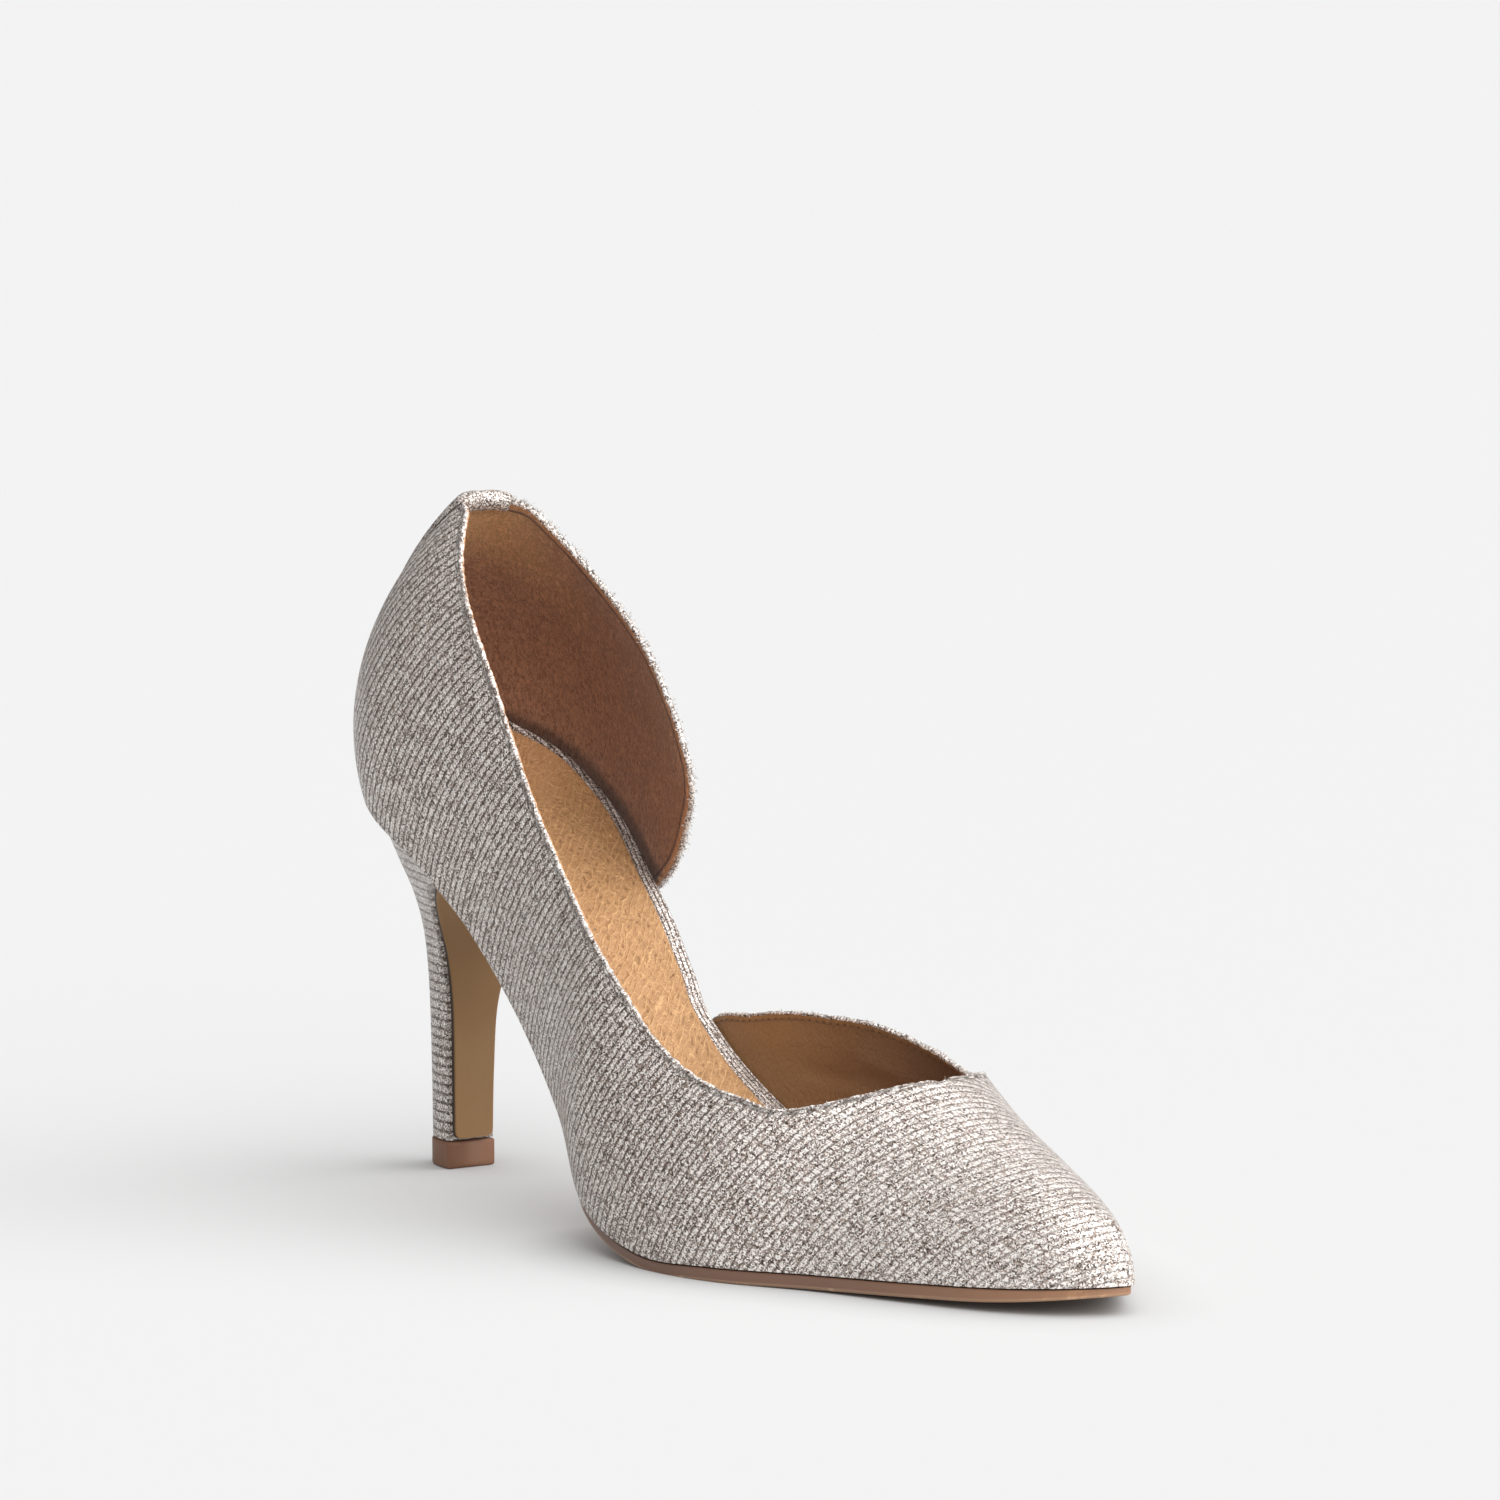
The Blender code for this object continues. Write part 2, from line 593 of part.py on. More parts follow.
def make_breast_cover(material):
    """Thin cover on the front of the heel, with rounded lower corners."""
    t = np.concatenate([np.linspace(0, HEEL_STEPS[1], COVER_FOOT_STEPS)[:-1], HEEL_STEPS[1:-1]])
    row = heel_row(t)
    line = np.stack([row["breast"], row["mid"], row["breast_z"]], -1)
    run = np.gradient(line, axis=0)
    front = unit(np.stack([run[:, 2], 0 * t, -run[:, 0]], -1))
    climb = np.append(0, np.cumsum(np.linalg.norm(np.diff(line, axis=0), axis=1)))
    keep = climb >= COVER_FOOT
    up = climb[keep] - climb[keep][0]
    short = np.clip(COVER_CORNER - up, 0, COVER_CORNER)
    half = row["half"][keep] - COVER_MARGIN - (COVER_CORNER - np.sqrt(COVER_CORNER ** 2 - short ** 2))
    loops = []
    for depth in (GAP, GAP + COVER):
        middle = line[keep] + front[keep] * depth
        reach = np.stack([0 * half, half, 0 * half], -1)
        loops.append(there_and_back(middle - reach, middle + reach))
    return make_solid("breast_cover", *loft(loops), material)


def make_top_piece(material):
    row = heel_row(0.0)
    loops = []
    for height, grow in ((0.0, TIP_GROW - TIP_BEVEL), (TIP_BEVEL, TIP_GROW), (TIP, TIP_GROW)):
        loop = d_loop(row, HEEL_POINTS, grow)
        loop[:, 2] = height
        loops.append(loop)
    return make_solid("top_piece", *loft(loops), material)


def centre_on_floor(items):
    """Hang the pieces on an empty that brings the middle of their box to the origin."""
    points = np.concatenate([[v.co for v in item.data.vertices] for item in items])
    low, high = points.min(0), points.max(0)
    root = bpy.data.objects.new("shoe", None)
    bpy.context.scene.collection.objects.link(root)
    root.location = (-(low[0] + high[0]) / 2, -(low[1] + high[1]) / 2, -low[2])
    for item in items:
        item.parent = root


def main():
    for item in list(bpy.data.objects):
        bpy.data.objects.remove(item)
    items = [
        make_upper(make_material("upper_knit", **KNIT)),
        make_back_stay(make_material("stay_knit", **KNIT)),
        make_insole(make_material("insole_knit", **KNIT)),
        make_sock(make_material("sock_leather", **SOCK_LEATHER)),
        make_outsole(make_material("sole_leather", **SOLE_LEATHER)),
        make_heel(make_material("heel_knit", **KNIT)),
        make_breast_cover(make_material("cover_leather", **COVER_LEATHER)),
        make_top_piece(make_material("tip_rubber", **TIP_RUBBER)),
    ]
    centre_on_floor(items)


main()
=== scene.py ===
"""Looks of the half d'Orsay stiletto pump, in the frame of its CAD model.

The toe points to +X, the outer (lateral) side of the foot to -Y, the inner (medial) side to +Y.
Lengths are millimetres until a mesh is written. The floor is z = 0.
"""

import bmesh
import bpy
import numpy as np
from mathutils import Matrix, Vector


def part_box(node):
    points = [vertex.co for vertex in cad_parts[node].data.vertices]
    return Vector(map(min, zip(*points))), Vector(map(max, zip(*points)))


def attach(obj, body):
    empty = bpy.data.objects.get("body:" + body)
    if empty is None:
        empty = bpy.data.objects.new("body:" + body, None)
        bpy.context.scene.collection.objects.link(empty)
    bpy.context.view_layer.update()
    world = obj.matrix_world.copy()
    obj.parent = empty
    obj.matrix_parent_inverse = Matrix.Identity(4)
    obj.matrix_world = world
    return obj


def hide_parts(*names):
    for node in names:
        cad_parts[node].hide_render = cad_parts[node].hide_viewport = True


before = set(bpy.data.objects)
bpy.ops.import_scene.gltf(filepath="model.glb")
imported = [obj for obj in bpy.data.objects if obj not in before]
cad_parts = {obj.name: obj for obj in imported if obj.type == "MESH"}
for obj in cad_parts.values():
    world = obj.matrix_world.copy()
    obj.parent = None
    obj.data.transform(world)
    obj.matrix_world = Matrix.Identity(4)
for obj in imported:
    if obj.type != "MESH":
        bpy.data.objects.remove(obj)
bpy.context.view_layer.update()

MM = 0.001

# Driving sizes of the last
LENGTH = 233.5
HEEL_HEIGHT = 80.5
BALL_WIDTH = 75.5
INSTEP = 77.0

# Thicknesses and clearances
WALL = 1.8
GAP = 0.3
# Towards the tip of the toe, between these two sections, the ridge thins by this share.
NOSE = (14.0, 15.0)
NOSE_THIN = 0.45
SOLE = 2.5
WAIST_SOLE = 1.8
SOLE_BEVEL = 0.5
INSOLE = 3.8
INSOLE_BEVEL = 0.8
SOCK = 1.2
STAY = 1.0
COVER = 1.0
TIP = 5.5

# One row for each section of the last, from the back of the heel to the tip of the toe.
# along: percent of LENGTH. rise: feather edge above the floor, percent of HEEL_HEIGHT.
# mid, lateral, medial: centre line and half widths of the feather edge, percent of BALL_WIDTH.
# ridge: height of the section over its feather edge, percent of INSTEP.
# swell, low, crown: how far the side swells past the feather edge, how high it stays upright,
# and how broad it is under the ridge, as shares of the half width or the height.
SECTION = ("along", "rise", "mid", "lateral", "medial", "ridge", "swell", "low", "crown")
SECTIONS = (
    (0.0, 100.0, 2.0, 0.0, 0.0, 86.4, 0.13, 0.44, 0.20),
    (1.7, 98.9, 2.0, 15.9, 16.7, 86.4, 0.13, 0.44, 0.20),
    (5.4, 95.7, 2.4, 27.0, 28.1, 86.4, 0.14, 0.44, 0.22),
    (11.1, 90.2, 2.6, 33.4, 34.4, 87.0, 0.20, 0.44, 0.35),
    (18.8, 81.5, 2.6, 34.4, 33.8, 89.6, 0.20, 0.44, 0.56),
    (26.6, 67.7, 1.3, 32.5, 30.5, 94.8, 0.18, 0.44, 0.72),
    (34.7, 48.4, 0.0, 31.8, 25.2, 100.0, 0.18, 0.40, 0.80),
    (43.3, 28.6, 0.0, 37.1, 26.5, 100.0, 0.16, 0.36, 0.76),
    (51.8, 10.9, 1.3, 48.5, 35.8, 90.9, 0.13, 0.34, 0.70),
    (60.8, 3.4, 2.6, 52.2, 49.0, 76.6, 0.10, 0.34, 0.62),
    (69.0, 3.4, 4.0, 49.4, 47.7, 60.4, 0.08, 0.36, 0.56),
    (77.1, 3.9, 5.3, 38.4, 41.1, 44.6, 0.08, 0.40, 0.46),
    (85.7, 4.8, 7.3, 30.5, 30.5, 31.2, 0.08, 0.45, 0.46),
    (92.5, 5.7, 6.6, 21.2, 20.5, 23.4, 0.08, 0.50, 0.54),
    (97.6, 6.6, 7.4, 10.7, 9.5, 18.2, 0.10, 0.55, 0.66),
    (100.0, 7.0, 10.3, 0.0, 0.0, 14.3, 0.10, 0.55, 0.66),
)
TOE = len(SECTIONS) - 1.0

# In side view the back seam is furthest back at BULGE above the feather edge, and curves forward
# below and above it.
BULGE = 16.5
CURVE_BELOW = 0.0223
CURVE_ABOVE = 0.0186
BACK_REACH = 60.0
# The nose of the toe leans back by TOE_LEAN at its top.
TOE_LEAN = 4.5
TOE_REACH = 24.0

# Edges of the upper: section number, and share of the way up that section's curve.
LATERAL_TOPLINE = (
    (0.0, 0.660), (1.5, 0.680), (3.0, 0.712), (3.9, 0.630), (5.0, 0.523), (6.2, 0.432), (7.0, 0.432),
    (8.0, 0.490), (9.0, 0.478), (9.9, 0.496), (10.3, 0.522), (10.65, 0.628), (10.87, 0.745),
    (11.0, 0.860), (11.1, 1.0),
)
WING_TOPLINE = (
    (6.26, 0.0), (6.40, 0.040), (6.8, 0.122), (7.75, 0.308), (8.2, 0.377), (9.0, 0.430), (9.6, 0.452),
    (9.96, 0.507), (10.4, 0.605), (10.75, 0.730), (10.98, 0.865), (11.1, 1.0),
)
QUARTER_TOPLINE = (
    (0.0, 0.660), (1.5, 0.680), (3.0, 0.712), (3.5, 0.680), (4.2, 0.618), (5.0, 0.580), (5.5, 0.560),
    (5.8, 0.536),
)
# Front edge of the medial quarter: share of its height, and section number.
QUARTER_FRONT = (
    (0.0, 4.74), (0.10, 4.94), (0.22, 5.18), (0.41, 5.50), (0.56, 5.72), (0.75, 5.95), (0.87, 5.97),
    (1.0, 5.80),
)
THROAT = LATERAL_TOPLINE[-1][0]
WING_END = WING_TOPLINE[0][0]

# Below this share of the way up, the wall's thickness turns level with the feather edge.
EDGE_BLEND = 0.05

# How far the insole's rim is cupped up along the wall around the heel: section number, and height.
HEEL_CUP = ((0.0, 7.5), (1.6, 7.0), (2.6, 5.0), (3.6, 2.2), (4.6, 0.4), (5.4, 0.0), (TOE, 0.0))
# The cup deepens from the back rim to this section, and is flat in the middle. The way up the wall is
# searched for it to this share, in so many steps.
CUP_END = 2.2
CUP_FLATNESS = 3
CUP_SHARE = 0.4
CUP_STEPS = 81
# Bare margin of the insole beside the sock on the medial side: section number, and width.
MARGIN = (
    (0.0, 1.6), (2.8, 2.2), (4.4, 3.4), (5.2, 4.0), (6.4, 4.2), (7.2, 5.8), (8.4, 6.4), (9.5, 4.6),
    (11.0, 2.0), (TOE, 1.0),
)
LATERAL_MARGIN = 0.6
# Where the open waist lets the insole reach out to the feather edge: start and end of both ramps.
WAIST_OUT = (4.74, 5.70)
WAIST_IN = (5.85, 6.35)
# How far the sole stands out past the feather edge: section number, and distance.
SOLE_EDGE = ((4.0, -1.6), (7.2, -1.5), (9.0, -0.2), (12.5, 0.0), (14.2, -0.5), (TOE, -0.9))
# The sole grows from its waist thickness to the full one between the first two sections. Towards its
# worn tip it is thinner by a share, from the third section to the fourth.
SOLE_THICKENS = (7.6, 9.4)
TIP_THINS = (12.6, 14.8)
TIP_THIN = 0.35
# First and last section under the sock
SOCK_ENDS = (0.22, 13.7)

# The heel, from its tip up to the seat. back, breast: where the section starts and ends along X.
# back_z, breast_z: heights of those two ends. mid, half: centre line and half width.
HEEL = ("back", "back_z", "breast", "breast_z", "mid", "half")
HEEL_ROWS = (
    (16.2, TIP + GAP, 27.0, TIP + GAP, 0.0, 5.3),
    (16.0, 20.0, 27.2, 20.0, 0.0, 5.5),
    (15.8, 36.0, 27.9, 34.0, 0.0, 6.2),
    (16.0, 49.0, 29.8, 44.0, 0.2, 8.7),
    (15.6, 59.5, 33.6, 52.0, 0.7, 13.4),
    (12.2, 68.5, 40.2, 58.0, 1.3, 19.0),
    (7.6, 77.0, 47.4, 61.8, 1.9, 23.6),
)
# How square the heel's back is; where its seat ends, how far it is set in, and the sole's distance from it
HEEL_ROUND = 2.3
SEAT = 4.27
SEAT_INSET = 0.3
SEAT_CLEAR = 0.03
# The panel's distance from the heel's corners, its rounded corners, and its distance from the heel's foot
COVER_MARGIN = 0.7
COVER_CORNER = 1.6
COVER_FOOT = 0.4
# The tip's lower and upper roundings, and how far it stands out past the heel
TIP_BEVEL = 0.5
TIP_ROUND = 0.25
TIP_GROW = 0.2

# The strip over the back seam: half its width, its length, and how far it goes inside
STAY_HALF = 7.2
STAY_LENGTH = 27.0
STAY_FOLD = 0.7

# The knit: length of its stitches, on the rim too, and the share of a cord's width that the rim shows
BEAD = 0.85
RIM_BEAD = 0.80
RIM_ROUND = 0.70
# Its cords lean forward on the walls and run across over the toe. They are counted along x, up z and out
# from the middle; weights are cords for 100 mm or its square.
CORDS_FROM = (120.0, 3.0, 40.0)
CORDS = {"x": 45.0, "z": -35.0, "xx": -9.0, "xz": -33.0, "zz": -21.0, "yy": -41.0}
# Cords for each millimetre by which they climb beside the back seam, and how far from it they start to
SEAM_CLIMB = 0.55
SEAM_REACH = 20.0
# Distance between the cords of the insole's wrapping and of the heel's
WRAP_RIB = 1.1
RING = 1.9
# A distance at which a free edge has no effect on the pattern
FAR = 9.0
# Steps for measuring a curve's length, a short step for slopes, the least lengths that have a direction,
# and distances below which points and edges are merged, in metres
CURVE_STEPS = 60
STEP = 1e-3
LEAST = 1e-9
LEAST_RUN = 1e-6
MERGE = 1e-5
THIN = 2e-6

# Where the model's own frame has the last's origin
tip_low, tip_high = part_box("top_piece")
SHIFT = np.array((tip_low.x / MM - HEEL_ROWS[0][0] + TIP_GROW, (tip_low.y + tip_high.y) / 2 / MM, 0.0))


def spline(table, at):
    """Smooth curve through (position, value) rows."""
    knots = np.array(table, float)
    x, y = knots[:, 0], knots[:, 1]
    slope = np.gradient(y, x)
    at = np.clip(np.asarray(at, float), x[0], x[-1])
    k = np.clip(np.searchsorted(x, at) - 1, 0, len(x) - 2)
    width = x[k + 1] - x[k]
    t = (at - x[k]) / width
    return hermite(t, y[k], y[k + 1], slope[k] * width, slope[k + 1] * width)


def hermite(t, start, end, start_slope, end_slope):
    square, cube = t * t, t * t * t
    return ((2 * cube - 3 * square + 1) * start + (cube - 2 * square + t) * start_slope
            + (3 * square - 2 * cube) * end + (cube - square) * end_slope)


def ramp(at, start, end):
    """Smooth step from 0 to 1."""
    t = np.clip((np.asarray(at, float) - start) / (end - start), 0, 1)
    return t * t * (3 - 2 * t)


def through_rows(rows, at, odd=()):
    """Values of each column at a row number that may lie between rows.

    The rows continue past both ends as a mirror image, so that ends are round;
    the columns in odd change sign there.
    """
    table = np.array(rows, float)
    sign = np.ones(table.shape[1])
    sign[list(odd)] = -1.0
    table = np.vstack([table[1] * sign, table, table[-2] * sign])
    at = np.asarray(at, float)
    k = np.clip(np.floor(at).astype(int), 0, len(rows) - 2)
    t = (at - k)[..., None]
    before, start, end, after = table[k], table[k + 1], table[k + 2], table[k + 3]
    return hermite(t, start, end, (end - before) / 2, (after - start) / 2)


def section(s):
    """Columns of the last's section at row number s, in millimetres."""
    odd = (SECTION.index("lateral"), SECTION.index("medial"))
    values = through_rows(SECTIONS, s, odd)
    scale = (LENGTH / 100, HEEL_HEIGHT / 100, BALL_WIDTH / 100, BALL_WIDTH / 100, BALL_WIDTH / 100,
             INSTEP / 100, 1.0, 1.0, 1.0)
    return {name: values[..., i] * scale[i] for i, name in enumerate(SECTION)}


def last(s, v, side):
    """Point of the outer surface: v = 0 on the feather edge and 1 on the ridge, side -1 lateral."""
    s, v = np.broadcast_arrays(np.asarray(s, float), np.asarray(v, float))
    row = section(s)
    half = row["lateral"] if side < 0 else row["medial"]
    near, low, high, top = (1 - v) ** 3, 3 * v * (1 - v) ** 2, 3 * v * v * (1 - v), v ** 3
    y = row["mid"] + side * half * (near + low * (1 + row["swell"]) + high * row["crown"])
    height = row["ridge"] * (low * row["low"] + high + top)
    back = np.clip(1 - row["along"] / BACK_REACH, 0, 1) ** 2
    nose = np.clip(1 - (LENGTH - row["along"]) / TOE_REACH, 0, 1) ** 2
    toe_height = SECTIONS[-1][SECTION.index("ridge")] * INSTEP / 100
    curve = np.where(height < BULGE, CURVE_BELOW, CURVE_ABOVE)
    x = row["along"] + back * curve * (height - BULGE) ** 2 - nose * TOE_LEAN * (height / toe_height) ** 2
    return np.stack([x, y, row["rise"] + height], -1)


def unit(vectors):
    return vectors / np.maximum(np.linalg.norm(vectors, axis=-1, keepdims=True), LEAST)


def along_foot(s, v, side):
    return last(np.asarray(s) + STEP, v, side) - last(np.asarray(s) - STEP, v, side)


def up_wall(s, v, side):
    return unit(last(s, np.asarray(v) + STEP, side) - last(s, np.asarray(v) - STEP, side))


def outward(s, v, side):
    """Unit normal of the outer surface, away from the foot."""
    return unit(np.cross(along_foot(s, v, side), up_wall(s, v, side))) * -side


def bottom_normal(s):
    """Upward unit normal of the bottom, which is straight from side to side."""
    ahead, behind = section(np.asarray(s) + STEP), section(np.asarray(s) - STEP)
    run, rise = ahead["along"] - behind["along"], ahead["rise"] - behind["rise"]
    flat = np.abs(run) < LEAST_RUN
    slope = np.where(flat, 0.0, rise / np.where(flat, 1.0, run))
    return unit(np.stack([-slope, 0 * slope, 1 + 0 * slope], -1))


def skin(s, v, side, depth):
    """Point at a depth inside the outer surface; on the feather edge it stays level with the edge."""
    s, v = np.broadcast_arrays(np.asarray(s, float), np.asarray(v, float))
    normal = outward(s, v, side)
    under = bottom_normal(s)
    level = unit(normal - under * np.sum(normal * under, -1, keepdims=True))
    at_edge = np.clip(1 - v / EDGE_BLEND, 0, 1)[..., None]
    way = unit(level * at_edge + normal * (1 - at_edge))
    return last(s, v, side) - np.asarray(depth, float)[..., None] * way


def share_at_height(s, height, side):
    """Share of the way up the section's curve at which it is so high over the feather edge."""
    shares = np.linspace(0, CUP_SHARE, CUP_STEPS)
    found = []
    for station, wanted in zip(np.atleast_1d(s), np.atleast_1d(height)):
        row_height = last(station, shares, side)[:, 2] - section(station)["rise"]
        found.append(np.interp(wanted, row_height, shares))
    return np.array(found)


def feather(s, side, outset, lift):
    """Feather edge moved outwards in the plane of the bottom, and lifted off that plane."""
    s = np.asarray(s, float)
    return skin(s, 0 * s, side, -outset) + bottom_normal(s) * np.asarray(lift)[..., None]


def arc(points, axis):
    """Length along a grid of points from its first row, in one direction of the grid."""
    step = np.linalg.norm(np.diff(points, axis=axis), axis=-1)
    zero = np.zeros_like(np.take(step, [0], axis))
    return np.concatenate([zero, np.cumsum(step, axis)], axis)


class Piece:
    """Points with three pattern values each, and faces, gathered from grids before a mesh is made."""

    def __init__(self):
        self.points = []
        self.weave = []
        self.faces = []
        self.kinds = []
        self.count = 0

    def add(self, points, weave, flip=False, closed=False, kind=0):
        rows, columns = points.shape[:2]
        index = self.count + np.arange(rows * columns).reshape(rows, columns)
        if closed:
            index = np.concatenate([index, index[:, :1]], 1)
        quads = np.stack([index[:-1, :-1], index[1:, :-1], index[1:, 1:], index[:-1, 1:]], -1).reshape(-1, 4)
        self.faces.append(quads[:, ::-1] if flip else quads)
        self.kinds.append(np.full(len(quads), kind))
        self.points.append(points.reshape(-1, 3))
        self.weave.append(weave.reshape(-1, 3))
        self.count += rows * columns

    def build(self, name, materials, node, slot, face_out=False):
        points = (np.concatenate(self.points) + SHIFT) * MM
        faces = np.concatenate(self.faces)
        mesh = bpy.data.meshes.new(name)
        mesh.from_pydata(points, [], faces.tolist())
        weave = mesh.attributes.new("weave", "FLOAT_VECTOR", "POINT")
        weave.data.foreach_set("vector", np.concatenate(self.weave).astype(np.float32).ravel())
        mesh.polygons.foreach_set("material_index", np.concatenate(self.kinds).astype(np.int32))
        work = bmesh.new()
        work.from_mesh(mesh)
        bmesh.ops.remove_doubles(work, verts=work.verts, dist=MERGE)
        bmesh.ops.dissolve_degenerate(work, edges=work.edges, dist=THIN)
        if face_out:
            bmesh.ops.recalc_face_normals(work, faces=work.faces)
        work.to_mesh(mesh)
        work.free()
        mesh.shade_smooth()
        for material in materials:
            mesh.materials.append(material)
        item = bpy.data.objects.new(name, mesh)
        bpy.context.scene.collection.objects.link(item)
        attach(item, "root")
        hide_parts(node)


# Materials

# Noise: cells for each metre, number of octaves, and how strong each next octave is
NOISE = {
    "suede_cloud": (60.0, 4.0, 0.6),
    "nap": (1500.0, 3.0, 0.65),
    "lining_cloud": (45.0, 4.0, 0.55),
    "lining_pores": (1500.0, 2.0, 0.5),
    "sock_cloud": (35.0, 4.0, 0.6),
    "mottle": (330.0, 4.0, 0.65),
    "grain": (850.0, 3.0, 0.6),
    "sole_cloud": (40.0, 3.0, 0.6),
    "sole_fine": (700.0, 2.0, 0.6),
    "scuff": (260.0, 4.0, 0.7),
    "cover_cloud": (70.0, 3.0, 0.6),
    "cover_grain": (1100.0, 3.0, 0.6),
    "tip_cloud": (120.0, 3.0, 0.6),
    "tip_fine": (1500.0, 2.0, 0.5),
}
# The two colours between which each leather and the rubber are cloudy
CLOUDY = {
    "suede": ((0.300, 0.136, 0.076), (0.450, 0.218, 0.125)),
    "lining": ((0.135, 0.068, 0.037), (0.190, 0.102, 0.058)),
    "sock": ((0.42, 0.220, 0.093), (0.54, 0.303, 0.137)),
    "sole": ((0.165, 0.085, 0.055), (0.215, 0.118, 0.078)),
    "underside": ((0.30, 0.165, 0.090), (0.38, 0.225, 0.130)),
    "cover": ((0.240, 0.127, 0.044), (0.305, 0.170, 0.065)),
    "tip": ((0.205, 0.095, 0.051), (0.270, 0.127, 0.071)),
}
# Colours of the knit: dull and plain thread, white painted on sparkling specks as glints, and the dark brown
# of the seam and of painted shade in the groove between cords
THREAD_DARK = (0.050, 0.030, 0.021)
THREAD_LIGHT = (0.40, 0.317, 0.270)
PAINTED_GLINT = (1.0, 0.945, 0.90)
SEAM_AND_SHADE_BROWN = (0.075, 0.046, 0.032)
# Marks on a colour, real ones and painted light and shade: how much of the mark goes on at most, and its
# colour
STAINS = {
    # painted highlight on the fold and the rim's highest crumbs
    "fold": (0.8, PAINTED_GLINT),
    # painted shade where two stitches meet
    "pinch_shade": (0.42, SEAM_AND_SHADE_BROWN),
    # dark seam line, and painted shade between the rim's crumbs
    "seam": (0.50, SEAM_AND_SHADE_BROWN),
    # golden painted light on the suede at the back
    "painted_light_patch": (1.0, (1.0, 0.58, 0.22)),
    "suede_rim": (0.8, (0.92, 0.46, 0.18)),
    # painted shade between the nap's hairs
    "nap_shade": (0.42, (0.085, 0.034, 0.018)),
    "nap_tips": (0.38, (0.72, 0.40, 0.23)),
    # dark brown of the sewn line, and of painted shadow along the suede's foot
    "suede_stitch_and_shadow": (0.7, (0.045, 0.02, 0.012)),
    # painted light on the vamp's lining towards the back
    "wing_painted_light": (0.75, (0.34, 0.18, 0.075)),
    # painted shade in the lining's wrinkles
    "wrinkle": (0.10, (0.08, 0.038, 0.020)),
    "lining_rim": (0.5, (0.40, 0.22, 0.09)),
    "lining_sewn": (0.55, (0.05, 0.024, 0.012)),
    "lining_thread": (0.7, (0.27, 0.15, 0.075)),
    "mottle": (0.45, (0.30, 0.145, 0.054)),
    # painted highlight along the sock's raised folds
    "sock_fold_highlight": (0.50, (0.74, 0.46, 0.215)),
    "pore": (0.45, (0.15, 0.066, 0.020)),
    # painted light on the sock towards the heel
    "sock_heel_painted_light": (0.52, (0.86, 0.47, 0.22)),
    "toe_tan": (0.8, (0.32, 0.160, 0.085)),
    "sole_tip": (1.0, (0.54, 0.27, 0.12)),
    "sole_line": (1.0, (0.60, 0.40, 0.25)),
    "sole_top": (0.5, (0.075, 0.036, 0.022)),
    "cover_edge": (1.0, (0.05, 0.028, 0.016)),
}
# Where an effect starts and where it is full. Of the knit: shares of a half cord or stitch, gleam, place
# in metres from the waist to the toe, and millimetres from the free edge
GROOVE_SIDE = (0.66, 0.90)
PINCH = (0.60, 0.05)
PLAIN_GLEAM = (0.16, 0.34)
GLINT_GLEAM = (0.50, 0.60)
# Painted light on the knit grows over this stretch towards the toe
TOE_PAINTED_LIGHT = (0.0, 0.105)
# Painted highlight on the fold and the rim's highest crumbs
FOLD = (0.42, 0.20)
# The dark seam line beside the fold, which on the rim is painted shade between the lowest crumbs
SEAM_IN = (0.45, 0.60)
SEAM_OUT = (0.65, 0.85)
# Of the sewn lines: millimetres from the line, and share of a half stitch
SEWN = (0.42, 0.12)
THREAD = (0.36, 0.26)
# Of the linings: share of the noise, place in metres, millimetres from the edge or over the insole
NAP = (0.36, 0.64)
# Golden painted light on the suede: place along the shoe, and distance from the edge
LIT_BACK = (-0.072, -0.099)
LIT_DEPTH = (24.0, 2.0)
SUEDE_RIM = (1.2, 0.6)
# Painted shadow on the suede just over the insole
SUEDE_FOOT_SHADOW = (3.0, 0.4)
# Painted light on the vamp's lining, by place along the shoe
WING_PAINTED_LIGHT = (0.028, -0.016)
LINING_RIM = (0.9, 0.3)
# Width of the painted shade in the wrinkles' creases
WRINKLE = (0.16, 0.0)
# Of the sock: shares of the noises, and of a lattice's cell from its middle
MOTTLE = (0.38, 0.68)
GRAIN = (0.34, 0.66)
BROKEN = (0.40, 0.60)
CROSS_LINE = (0.42, 0.48)
CROSS_RIDGE = (0.3, 0.5)
ROW_LINE = (0.40, 0.48)
ROW_RIDGE = (0.22, 0.5)
PORE = (0.030, 0.008)
PORE_PICK = (0.45, 0.75)
# Of the sole and the heel's panel: share of the noise, place in metres, millimetres up or from the edge
SCUFF = (0.52, 0.72)
TOE_TAN = (0.060, 0.112)
SOLE_TIP = (0.1065, 0.114)
SOLE_LINE = (1.0, 0.80)
SOLE_TOP = (2.0, 2.5)
PANEL_EDGE = (0.5, 0.1)
# Relief: depth in millimetres and strength of each material's bumps
BUMPS = {
    "knit": (0.12, 0.9),
    "suede": (0.25, 0.8),
    "lining": (0.16, 0.6),
    "sock": (0.30, 1.0),
    "sole": (0.06, 0.5),
    "cover": (0.08, 0.5),
    "tip": (0.05, 0.4),
}
# How high each feature stands in that relief
RISE = {
    "groove": -0.8, "speck": 0.8, "seam": -0.7, "suede_sewn": -1.6, "wrinkle": -0.5, "lining_pores": 1.2,
    "lining_sewn": -1.5, "lining_thread": 1.8, "sock_ridge": 0.40, "pore": -0.6,
}


